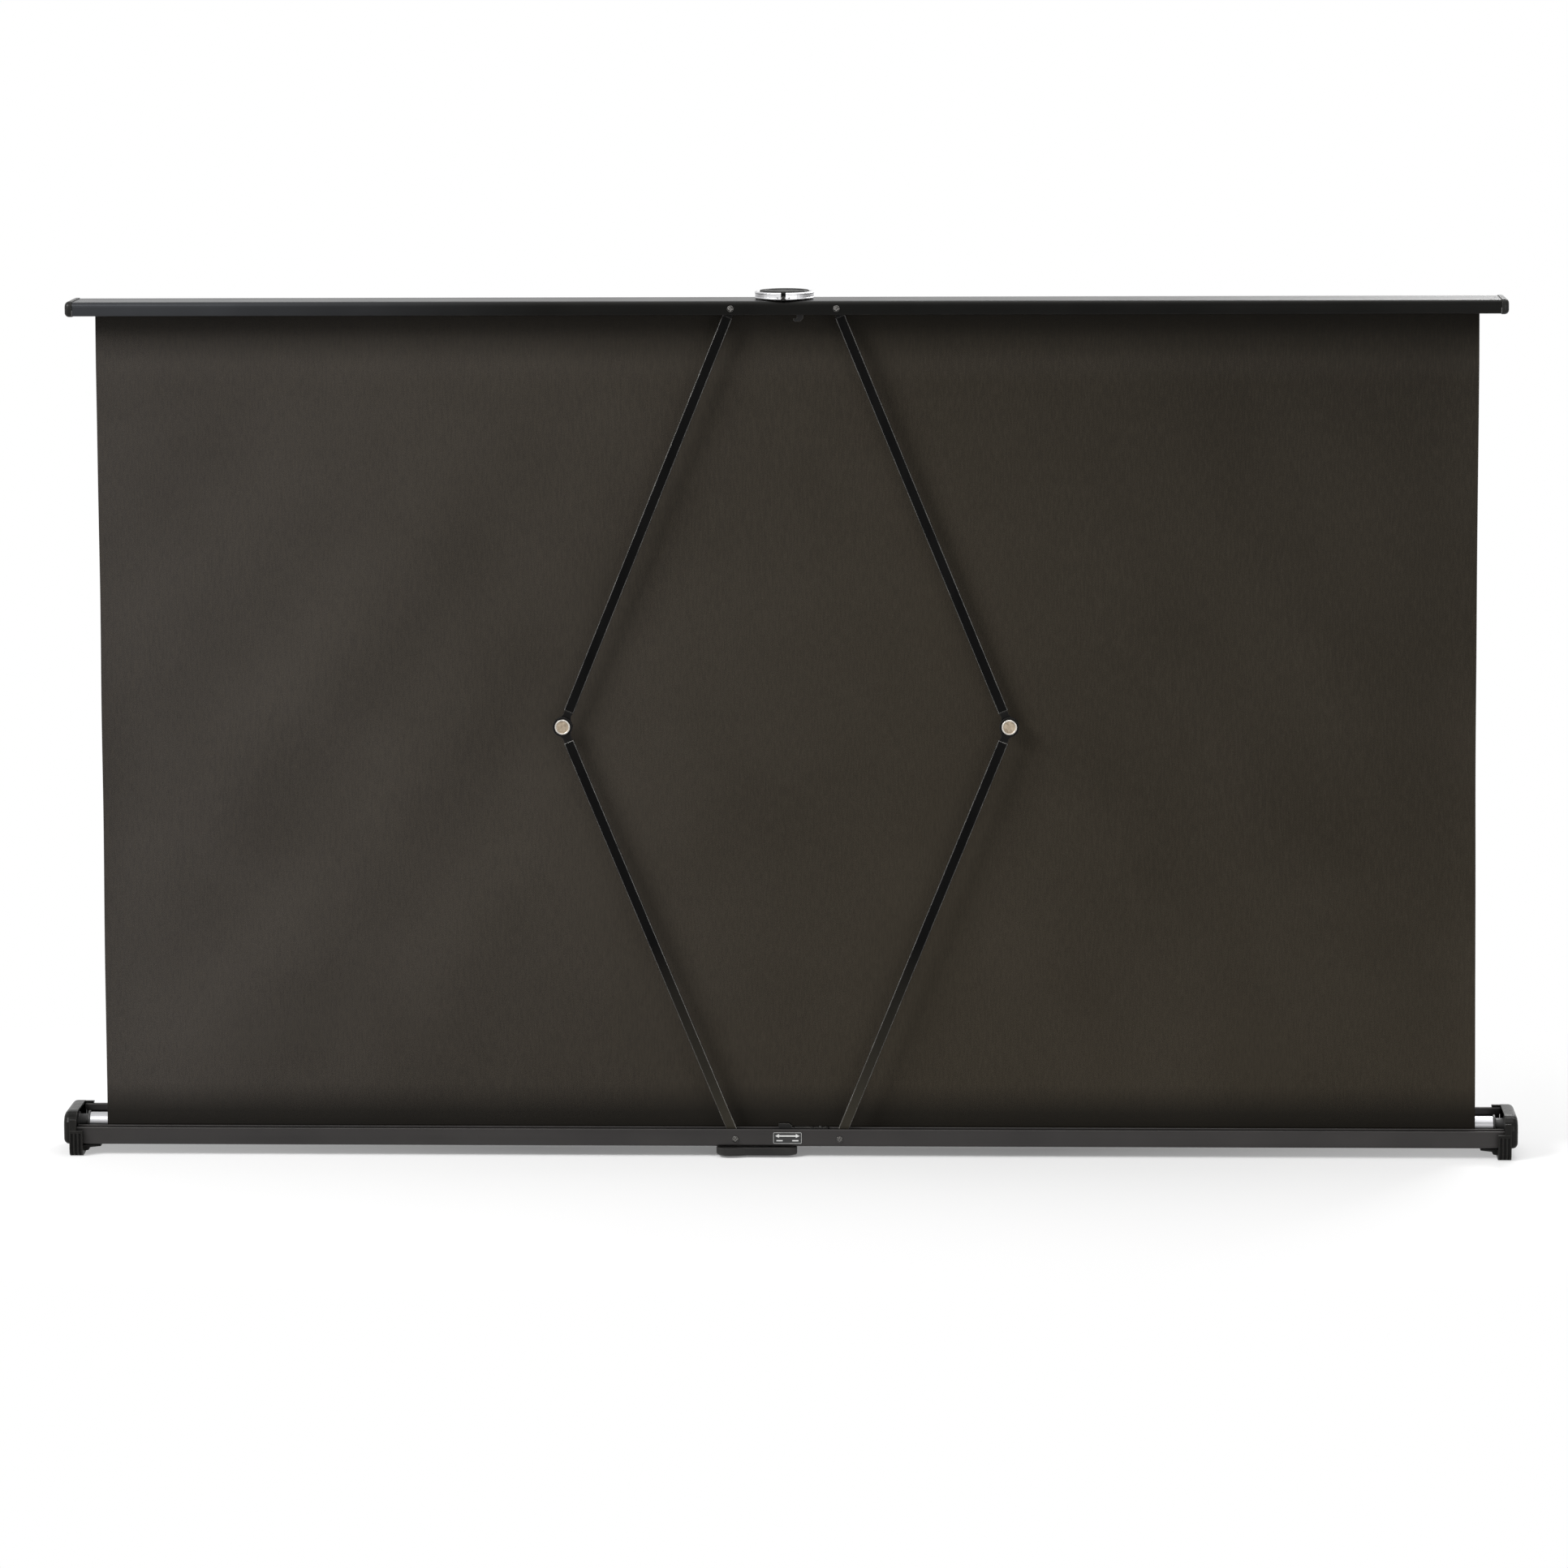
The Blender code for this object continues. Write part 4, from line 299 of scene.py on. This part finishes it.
def cloth_back():
    """Dark backing: fine weave, cloudy tone, and painted light and shade: darker below the bar, above the
    case, towards +X and towards the top.
    """
    paint = Paint("cloth_back")
    axes = paint.axes()
    threads = weave(paint, axes)
    cloudy = paint.noise(5, 5)
    slubs = paint.noise(120, 4, (6.5, 1, 0.8), 0.65)
    grey = paint.ramp(cloudy, (0.026, 0.0225, 0.0195), (0.037, 0.0325, 0.0285), 0.3, 0.7)
    olive = paint.ramp(cloudy, (0.0226, 0.0178, 0.0112), (0.0320, 0.0259, 0.0176), 0.3, 0.7)
    # Painted shade: the tone goes from grey to a darker olive towards +X.
    tone = paint.mix(paint.spread(axes["X"], 0.0, 1.0, GREY_X, OLIVE_X), grey, olive)
    # Painted light and shade: the cloth grows darker towards the top, most of all at +X.
    slope = paint.calculate("ADD", paint.calculate("MULTIPLY", axes["X"], 0.8), 0.55)
    painted_light_slope = paint.calculate("SUBTRACT", 1.22, paint.calculate("MULTIPLY", axes["Z"], slope))
    tone = paint.mix(1.0, tone, painted_light_slope, "MULTIPLY")
    tone = paint.mix(paint.spread(slubs, 0.0, 0.33, 0.45, 0.75), tone, (0.052, 0.044, 0.033))
    tone = paint.mix(paint.spread(slubs, 0.33, 0.0, 0.25, 0.52), tone, (0.010, 0.008, 0.006))
    off_band = paint.calculate("ABSOLUTE", paint.calculate("SUBTRACT", axes["Z"], BAND_Z))
    band = paint.spread(off_band, 0.07, 0.0, BAND_CORE, BAND_REACH)
    tone = paint.mix(band, tone, (0.06, 0.053, 0.046))
    # Painted shade: near-black strips just below the bar and just above the case.
    painted_shade = paint.calculate("MAXIMUM", paint.spread(axes["Z"], 0.0, 0.68, *PAINTED_SHADE_TOP),
                           paint.spread(axes["Z"], 0.72, 0.0, *PAINTED_SHADE_BOTTOM))
    tone = paint.mix(painted_shade, tone, (0.005, 0.0045, 0.0035))
    tone = paint.mix(paint.calculate("MULTIPLY", threads, 0.18), tone, (0.012, 0.010, 0.008))
    paint.colour(tone)
    paint.roughness(paint.spread(slubs, 0.82, 0.95))
    paint.fix("Specular IOR Level", 0.15)
    paint.fix("Sheen Weight", 0.05)
    paint.fix("Sheen Roughness", 0.5)
    paint.bump(threads, 0.00012, 0.6)
    return paint.material


def cloth_front():
    """Matt white viewing surface with a very fine emboss."""
    paint = Paint("cloth_front")
    paint.colour(paint.ramp(paint.noise(8, 4), (0.80, 0.80, 0.785), (0.84, 0.84, 0.83), 0.3, 0.7))
    paint.roughness(paint.spread(paint.noise(40, 3), 0.8, 0.9))
    paint.bump(paint.noise(2600, 2), 0.00005, 0.5)
    return paint.material


def cloth_border():
    """Matt black printed border."""
    paint = Paint("cloth_border")
    paint.colour(paint.ramp(paint.noise(30, 4), (0.010, 0.010, 0.010), (0.016, 0.015, 0.015), 0.3, 0.7))
    paint.roughness(paint.spread(paint.noise(70, 3), 0.72, 0.86))
    paint.bump(paint.noise(2600, 2), 0.00005, 0.5)
    return paint.material


def assign(material, *names):
    """Show the CAD nodes in the material given, without a change to their meshes."""
    for name in names:
        slots = NODES[name].material_slots
        for index in range(len(slots)):
            slots[index].link = "OBJECT"
            slots[index].material = material


def dress_frame():
    """Give every rigid CAD node its finish."""
    case = brushed("case_anodised", (0.0205, 0.0189, 0.0183), (0.033, 0.0304, 0.0293), (0.36, 0.5),
                   metallic=0.5, edge=0.0004, stretch=ALONG_X, wear_and_highlight=(0.25, 0.235, 0.225))
    # The bar's lighter left end is a painted reflection.
    bar = brushed("bar_anodised", (0.0032, 0.0031, 0.0026), (0.0062, 0.0060, 0.0052), (0.30, 0.42),
                  metallic=0.85, edge=0.0004, stretch=ALONG_X, wear_and_highlight=(0.20, 0.19, 0.185),
                  lighter_end=((0.036, 0.038, 0.042), "X", -0.54, -0.2))
    cap = moulded("cap_plastic", (0.005, 0.0048, 0.0043), (0.010, 0.0095, 0.0085), (0.22, 0.34),
                  edge=0.0007, wear_and_highlight=(0.07, 0.067, 0.06), gloss=0.12)
    foot = moulded("foot_plastic", (0.005, 0.0048, 0.0043), (0.010, 0.0095, 0.0085), (0.30, 0.44),
                   edge=0.0005, wear_and_highlight=(0.08, 0.076, 0.07), gloss=0.12)
    bar_cap = moulded("bar_cap_plastic", (0.008, 0.008, 0.0074), (0.016, 0.016, 0.0148), (0.26, 0.38),
                      edge=0.0006, wear_and_highlight=(0.09, 0.09, 0.08), gloss=0.15)
    arm_colours = (0.0012, 0.0012, 0.0012), (0.0035, 0.0034, 0.0032)
    # The light colour on the arms' edges is a painted highlight.
    arm_values = dict(metallic=0.9, edge=0.0006, stretch=ALONG_Z, wear_and_highlight=(0.42, 0.41, 0.39), wear_and_highlight_share=0.9)
    arm = brushed("arm_black", *arm_colours, (0.34, 0.48), **arm_values)
    # The lower arms are lighter towards their bottom ends.
    low_arm = brushed("lower_arm_black", *arm_colours, (0.34, 0.48), **arm_values,
                      lighter_end=((0.036, 0.032, 0.024), "Z", 0.03, 0.18))
    fitting = moulded("fitting_black", (0.0015, 0.0015, 0.0015), (0.0045, 0.0042, 0.004), (0.45, 0.62),
                      edge=0.0004, grain=900, depth=0.00008, wear_and_highlight=(0.09, 0.085, 0.08), gloss=0.1)
    # The bright rim on the screws' heads is a painted highlight.
    screw = brushed("screw_black", (0.012, 0.012, 0.012), (0.05, 0.048, 0.045), (0.28, 0.42),
                    metallic=0.9, edge=0.0004, wear_and_highlight=(0.62, 0.60, 0.57), wear_and_highlight_share=1.0)
    bearing = moulded("bearing_plastic", (0.012, 0.012, 0.012), (0.022, 0.021, 0.021), (0.4, 0.55),
                      edge=0.0003)
    zinc = brushed("zinc_steel", (0.36, 0.35, 0.34), (0.60, 0.59, 0.57), (0.28, 0.46), metallic=1.0,
                   edge=0.0002)
    # The lighter edges of the lock are painted glints.
    lock = brushed("lock_black", (0.008, 0.008, 0.008), (0.02, 0.019, 0.018), (0.3, 0.45), metallic=0.8,
                   edge=0.0003, stretch=ALONG_X, wear_and_highlight=(0.30, 0.29, 0.27), wear_and_highlight_share=0.6)
    tube = brushed("roller_aluminium", (0.34, 0.34, 0.35), (0.52, 0.52, 0.535), (0.24, 0.38),
                   metallic=1.0, edge=0.0003, stretch=ALONG_X)
    ring = brushed("ring_silver", (0.46, 0.46, 0.47), (0.66, 0.66, 0.67), (0.26, 0.40), metallic=1.0,
                   edge=0.0003, stretch=ROUND)
    disc = moulded("pull_cap_plastic", (0.006, 0.006, 0.006), (0.014, 0.014, 0.013), (0.5, 0.65),
                   edge=0.0003, gloss=0.15)
    handle = moulded("handle_plastic", (0.009, 0.0085, 0.008), (0.017, 0.016, 0.015), (0.34, 0.48),
                     edge=0.0004, wear_and_highlight=(0.08, 0.075, 0.07), gloss=0.3)
    rubber = moulded("pad_rubber", (0.016, 0.015, 0.015), (0.026, 0.025, 0.024), (0.75, 0.9),
                     edge=0.0003, grain=700)
    rivet = rivet_material()

    assign(case, "case_channel")
    assign(bar, "top_bar")
    assign(tube, "roller_tube")
    assign(ring, "pull_ring")
    assign(disc, "pull_cap", "pull_base")
    assign(lock, "lock_slide", "latch_tongue", "lock_guide_pin")
    assign(handle, "lock_handle")
    assign(arm, "cloth_clamp")
    assign(zinc, "spring_shaft", "motor_spring", "pull_pin")
    for side in SIDES:
        assign(rivet, "knee_rivet_" + side)
        assign(foot, "foot_" + side)
        assign(cap, "case_cap_" + side)
        assign(bar_cap, "bar_cap_" + side)
        assign(rubber, "foot_pad_" + side)
        assign(arm, "upper_arm_" + side)
        assign(low_arm, "lower_arm_" + side)
        assign(bearing, "roller_bearing_" + side, "roller_plug_" + side)
        assign(zinc, "case_cap_screw_" + side, "foot_screw_" + side)
        for level in ("lower", "upper"):
            assign(fitting, level + "_arm_eye_" + side, level + "_knee_hub_" + side)
            assign(screw, level + "_pivot_screw_" + side)
            assign(zinc, level + "_pivot_bush_" + side, level + "_pivot_nut_" + side)


# Cloth. The border counts from where the cloth leaves the case to where the bar hides it.

CLOTH_THICKNESS = 0.00045
CLOTH_SEEN_FROM = 0.0298
CLOTH_IN_BAR = 0.008
BORDER_SIDE = 0.020
BORDER_TOP = 0.030
BORDER_BOTTOM = 0.029
CLOTH_HALF = CLOTH_WIDTH / 2
PICTURE_HALF = CLOTH_HALF - BORDER_SIDE
PICTURE_LOW = CLOTH_SEEN_FROM + BORDER_BOTTOM
PICTURE_HIGH = CLOTH_TOP - CLOTH_IN_BAR - BORDER_TOP
PICTURE_COLUMNS = 96
PICTURE_ROWS = 44

# FOLD_LEAN is in metres from the roller to the bar, and FOLD_TURN in radians for each metre
WAVE_DEPTH = 0.0030
FOLD_DEPTH = 0.0018
FOLD_DEPTH_LOW = 0.0022
FOLD_LEAN = 0.50
FOLD_TURN = 41
CURL_WIDTH = 0.035
CURL_DEPTH = 0.0042
EDGE_RUN_IN = 0.0055
EDGE_HOLLOW = 0.0025

WOUND_TURNS = 2.5
WOUND_STEPS = 32
WOUND_INSIDE = 0.00812
WOUND_OUTSIDE = 0.00868
WOUND_THICKNESS = 0.00018


def add_mesh(name, bm, *materials, smooth=False):
    """Put the mesh into the scene as an object of that name."""
    mesh = bpy.data.meshes.new(name)
    bm.to_mesh(mesh)
    bm.free()
    for material in materials:
        mesh.materials.append(material)
    if smooth:
        mesh.shade_smooth()
        mesh.set_sharp_from_angle(angle=math.radians(40))
    obj = bpy.data.objects.new(name, mesh)
    bpy.context.scene.collection.objects.link(obj)
    return obj


def within_one(value):
    """The value, held between 0 and 1."""
    return min(1.0, max(0.0, value))


def cloth_offset(x, share):
    """How far the drawn cloth stands off its flat plane, towards -Y only, so it clears the wound turns.

    share goes from 0 at the roller to 1 at the bar, where the cloth is held straight. There is a broad wave,
    there are folds that lean from the case's ends to the bar's middle, and the side edges curl.
    """
    free = math.sin(math.pi * share)
    held = min(1.0, min(1.0 - share, share) * 14)
    broad = WAVE_DEPTH * (noise.noise(Vector((x * 4.3, share * 1.7, 2.0))) - 0.6)
    lean = x + FOLD_LEAN * share * math.copysign(1.0, x)
    drift = 2.4 * noise.noise(Vector((x * 2.2, share * 1.4, 7.0)))
    off_centre = within_one((abs(x) - 0.13) / 0.17)
    off_centre *= off_centre * (3 - 2 * off_centre)
    off_centre *= 1.0 - 0.5 * within_one((abs(x) - 0.42) / 0.15)
    low = max(0.0, 1.0 - share * 1.3)
    fold = (FOLD_DEPTH + FOLD_DEPTH_LOW * low) * off_centre * (math.sin(lean * FOLD_TURN + drift) - 1.0)
    clear = -0.0005 * min(1.0, share * 40) * held
    edge = max(0.0, (abs(x) - (CLOTH_HALF - CURL_WIDTH)) / CURL_WIDTH)
    curl = -CURL_DEPTH * edge * edge * (0.75 + 0.25 * math.sin(share * 7 + x * 2)) * min(1.0, share * 5)
    return (broad + fold) * free + clear + curl * held


def edge_draw(share):
    """The width's share at a height: the edges run in a little towards the bar and are hollow between."""
    return 1.0 - EDGE_RUN_IN * share - EDGE_HOLLOW * math.sin(math.pi * share)


def cloth_lines():
    """The X of each column and the Z of each row of the cloth's grid, closer where it curls or is held."""
    columns = [-CLOTH_HALF + CURL_WIDTH * i / 7 for i in range(7)]
    columns = [x for x in columns if x < -PICTURE_HALF] + [-PICTURE_HALF]
    columns += [-PICTURE_HALF + 2 * PICTURE_HALF * i / PICTURE_COLUMNS for i in range(1, PICTURE_COLUMNS)]
    columns += [-x for x in reversed(columns[:columns.index(-PICTURE_HALF) + 1])]
    low, high = PICTURE_LOW, PICTURE_HIGH
    rows = [ROLLER_Z, ROLLER_Z + 0.006, low - BORDER_BOTTOM + 0.004, low - 0.012, low]
    rows += [low + (high - low) * i / PICTURE_ROWS for i in range(1, PICTURE_ROWS)]
    rows += [high, high + 0.012, high + 0.024, CLOTH_TOP - 0.004, CLOTH_TOP]
    return columns, rows


def build_cloth(back, front, border):
    """The drawn cloth as one thin closed sheet: dark behind, white with a black border in front."""
    height = CLOTH_TOP - ROLLER_Z
    columns, rows = cloth_lines()
    bm = bmesh.new()
    sides = []
    for shift in (-CLOTH_THICKNESS / 2, CLOTH_THICKNESS / 2):
        grid = []
        for z in rows:
            share = (z - ROLLER_Z) / height
            grid.append([bm.verts.new((x * edge_draw(share), CLOTH_Y + shift + cloth_offset(x, share), z))
                         for x in columns])
        sides.append(grid)
    rear, fore = sides
    top, end = len(rows) - 1, len(columns) - 1
    for j in range(top):
        for i in range(end):
            bm.faces.new((rear[j][i], rear[j][i + 1], rear[j + 1][i + 1], rear[j + 1][i]))
            face = bm.faces.new((fore[j][i], fore[j + 1][i], fore[j + 1][i + 1], fore[j][i + 1]))
            x = (columns[i] + columns[i + 1]) / 2
            z = (rows[j] + rows[j + 1]) / 2
            in_picture = abs(x) < PICTURE_HALF and PICTURE_LOW < z < PICTURE_HIGH
            face.material_index = 1 if in_picture else 2
    for j in range(top):
        bm.faces.new((rear[j][0], rear[j + 1][0], fore[j + 1][0], fore[j][0]))
        bm.faces.new((rear[j][end], fore[j][end], fore[j + 1][end], rear[j + 1][end]))
    for i in range(end):
        bm.faces.new((rear[0][i], fore[0][i], fore[0][i + 1], rear[0][i + 1]))
        bm.faces.new((rear[top][i], rear[top][i + 1], fore[top][i + 1], fore[top][i]))
    bmesh.ops.recalc_face_normals(bm, faces=bm.faces)
    cloth = add_mesh("drawn_cloth", bm, back, front, border, smooth=True)
    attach(cloth, "case")
    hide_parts("screen_cloth")
    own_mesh(cloth)


def build_cloth_roll(back):
    """The turns of cloth that stay wound on the roller, as one thin closed spiral."""
    count = int(WOUND_TURNS * WOUND_STEPS)
    columns = [-CLOTH_HALF, -CLOTH_HALF + 0.004, CLOTH_HALF - 0.004, CLOTH_HALF]
    bm = bmesh.new()
    layers = []
    for shift in (-WOUND_THICKNESS / 2, WOUND_THICKNESS / 2):
        grid = []
        for step in range(count + 1):
            angle = math.pi - 2 * math.pi * (WOUND_TURNS - step / WOUND_STEPS)
            radius = WOUND_INSIDE + (WOUND_OUTSIDE - WOUND_INSIDE) * step / count + shift
            y = ROLLER_Y + radius * math.cos(angle)
            z = ROLLER_Z + radius * math.sin(angle)
            grid.append([bm.verts.new((x, y, z)) for x in columns])
        layers.append(grid)
    low, high = layers
    for step in range(count):
        for i in range(len(columns) - 1):
            bm.faces.new((low[step][i], low[step][i + 1], low[step + 1][i + 1], low[step + 1][i]))
            bm.faces.new((high[step][i], high[step + 1][i], high[step + 1][i + 1], high[step][i + 1]))
        bm.faces.new((low[step][0], low[step + 1][0], high[step + 1][0], high[step][0]))
        bm.faces.new((low[step][-1], high[step][-1], high[step + 1][-1], low[step + 1][-1]))
    for step in (0, count):
        for i in range(len(columns) - 1):
            bm.faces.new((low[step][i], high[step][i], high[step][i + 1], low[step][i + 1]))
    bmesh.ops.recalc_face_normals(bm, faces=bm.faces)
    roll = add_mesh("wound_cloth", bm, back, smooth=True)
    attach(roll, "roller")


# Label with the lock's double arrow, a film on the case's rear wall with print on it

LABEL_HALF = 0.0121
LABEL_LOW = 0.0113
LABEL_HIGH = 0.0213
LABEL_CORNER = 0.0011
FILM_FACE = REAR_Y - 0.0001
FILM_THICKNESS = 0.0002
PRINT_FACE = FILM_FACE - FILM_THICKNESS - 0.00002
PRINT_THICKNESS = 0.00006
FRAME_OUTSIDE = 0.00035
FRAME_INSIDE = 0.0006
MARK_X = 0.0066
MARK_HALF = 0.0026
MARK_LOW = 0.0136
MARK_HIGH = 0.0146


def prism(bm, outline, y_near, y_far):
    """A solid between two Y with the outline given in X and Z."""
    near = [bm.verts.new((x, y_near, z)) for x, z in outline]
    far = [bm.verts.new((x, y_far, z)) for x, z in outline]
    bm.faces.new(near)
    bm.faces.new(list(reversed(far)))
    for i in range(len(outline)):
        j = (i + 1) % len(outline)
        bm.faces.new((near[i], far[i], far[j], near[j]))


def strip(bm, outer, inner, y_near, y_far):
    """A closed flat frame between two outlines."""
    rings = [[bm.verts.new((x, y, z)) for x, z in outline]
             for outline, y in ((outer, y_near), (inner, y_near), (inner, y_far), (outer, y_far))]
    for ring, following in zip(rings, rings[1:] + rings[:1]):
        for i in range(len(ring)):
            j = (i + 1) % len(ring)
            bm.faces.new((ring[i], ring[j], following[j], following[i]))


def rounded_plate(inset):
    """The label's outline, with rounded corners, brought in by the inset."""
    half, low, high = LABEL_HALF - inset, LABEL_LOW + inset, LABEL_HIGH - inset
    radius = LABEL_CORNER - inset
    outline = []
    for across, up, start in ((1, -1, 270), (1, 1, 0), (-1, 1, 90), (-1, -1, 180)):
        centre_x = across * (half - radius)
        centre_z = (high if up > 0 else low) - up * radius
        for step in range(5):
            angle = math.radians(start + 90 * step / 4)
            outline.append((centre_x + radius * math.cos(angle), centre_z + radius * math.sin(angle)))
    return outline


def double_arrow():
    """The outline of an arrow with a head at both ends."""
    z, tip, shaft, head, wing = 0.0181, 0.0102, 0.0006, 0.0032, 0.0017
    return [(-tip, z), (-tip + head, z - wing), (-tip + head, z - shaft), (tip - head, z - shaft),
            (tip - head, z - wing), (tip, z), (tip - head, z + wing), (tip - head, z + shaft),
            (-tip + head, z + shaft), (-tip + head, z + wing)]


def build_label():
    """The film, and as a second piece its print: the double arrow, a thin outline and two plain marks."""
    film = moulded("label_film", (0.012, 0.012, 0.012), (0.02, 0.02, 0.02), (0.3, 0.42), edge=0.0001)
    bm = bmesh.new()
    prism(bm, rounded_plate(0.0), FILM_FACE, FILM_FACE - FILM_THICKNESS)
    bmesh.ops.recalc_face_normals(bm, faces=bm.faces)
    label = add_mesh("lock_label", bm, film)
    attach(label, "case")

    white = moulded("label_print", (0.62, 0.62, 0.61), (0.72, 0.72, 0.71), (0.4, 0.5), edge=0.00005)
    faces = (PRINT_FACE, PRINT_FACE - PRINT_THICKNESS)
    bm = bmesh.new()
    prism(bm, double_arrow(), *faces)
    strip(bm, rounded_plate(FRAME_OUTSIDE), rounded_plate(FRAME_INSIDE), *faces)
    for x in (-MARK_X, MARK_X):
        left, right = x - MARK_HALF, x + MARK_HALF
        prism(bm, [(left, MARK_LOW), (right, MARK_LOW), (right, MARK_HIGH), (left, MARK_HIGH)], *faces)
    bmesh.ops.recalc_face_normals(bm, faces=bm.faces)
    print_piece = add_mesh("lock_label_arrow", bm, white)
    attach(print_piece, "case")


# Floor and light

def direct_rays(tree):
    """1 for rays from the camera, glossy rays and transmission rays, and 0 for others."""
    rays = tree.nodes.new("ShaderNodeLightPath").outputs
    total = rays["Is Camera Ray"]
    for name in ("Is Glossy Ray", "Is Transmission Ray"):
        larger = tree.nodes.new("ShaderNodeMath")
        larger.operation = "MAXIMUM"
        tree.links.new(total, larger.inputs[0])
        tree.links.new(rays[name], larger.inputs[1])
        total = larger.outputs["Value"]
    return total


def build_stage():
    """A white floor that catches the shadow near the screen and goes over into the white world."""
    bm = bmesh.new()
    bmesh.ops.create_grid(bm, x_segments=1, y_segments=1, size=12)
    paint = Paint("floor")
    paint.fix("Roughness", 0.9)
    paint.colour(paint.ramp(paint.noise(3, 2), (0.93, 0.93, 0.93), (0.95, 0.95, 0.95), 0.3, 0.7))
    glow = paint.node("ShaderNodeEmission")
    glow.inputs["Color"].default_value = (1, 1, 1, 1)
    blend = paint.node("ShaderNodeMixShader")
    far = paint.node("ShaderNodeVectorMath", operation="LENGTH")
    paint.link(paint.stretched((0.35, 1, 1)), far.inputs[0])
    share = paint.spread(far.outputs["Value"], 0.18, 1.0, 0.08, 0.55)
    paint.link(paint.calculate("MULTIPLY", direct_rays(paint.tree), share), blend.inputs["Fac"])
    paint.link(paint.shader.outputs["BSDF"], blend.inputs[1])
    paint.link(glow.outputs["Emission"], blend.inputs[2])
    paint.link(blend.outputs["Shader"], paint.tree.nodes["Material Output"].inputs["Surface"])
    floor = add_mesh("floor", bm, paint.material)


def build_world():
    """White where it is seen or mirrored, and a quarter of that as light on the screen."""
    world = bpy.data.worlds.new("studio")
    world.use_nodes = True
    bpy.context.scene.world = world
    tree = world.node_tree
    background = tree.nodes["Background"]
    background.inputs["Color"].default_value = (1, 1, 1, 1)
    strength = tree.nodes.new("ShaderNodeMapRange")
    strength.inputs["To Min"].default_value = 0.25
    strength.inputs["To Max"].default_value = 1.0
    tree.links.new(direct_rays(tree), strength.inputs["Value"])
    tree.links.new(strength.outputs["Result"], background.inputs["Strength"])


def add_lamp(name, place, target, size, power):
    """A rectangular lamp of the size given in metres, turned to its target, with its power in watts."""
    data = bpy.data.lights.new(name, "AREA")
    data.shape = "RECTANGLE"
    data.size, data.size_y = size
    data.energy = power
    lamp = bpy.data.objects.new(name, data)
    lamp.location = place
    lamp.rotation_euler = (Vector(target) - Vector(place)).to_track_quat("-Z", "Y").to_euler()
    bpy.context.scene.collection.objects.link(lamp)


def main():
    """Build everything that the scene adds to the CAD frame, from the camera to the lamps."""
    bpy.context.scene.view_settings.view_transform = "Standard"
    add_camera()
    dress_frame()
    back = cloth_back()
    build_cloth(back, cloth_front(), cloth_border())
    build_cloth_roll(back)
    build_label()
    build_stage()
    build_world()
    add_lamp("front_left", (-2.1, -1.5, 2.2), (-0.1, 0, 0.3), (1.4, 1.1), 92)
    add_lamp("overhead", (0.4, 0, 2.4), (0.2, 0, 0.2), (2.4, 1.8), 24)
    add_lamp("back_right", (1.2, 2.2, 2.2), (0, 0, 0.3), (1.5, 1.1), 44)
    add_lamp("front_low", (1.6, -2.2, 0.6), (0.3, 0, 0.1), (1.4, 0.8), 9)


main()
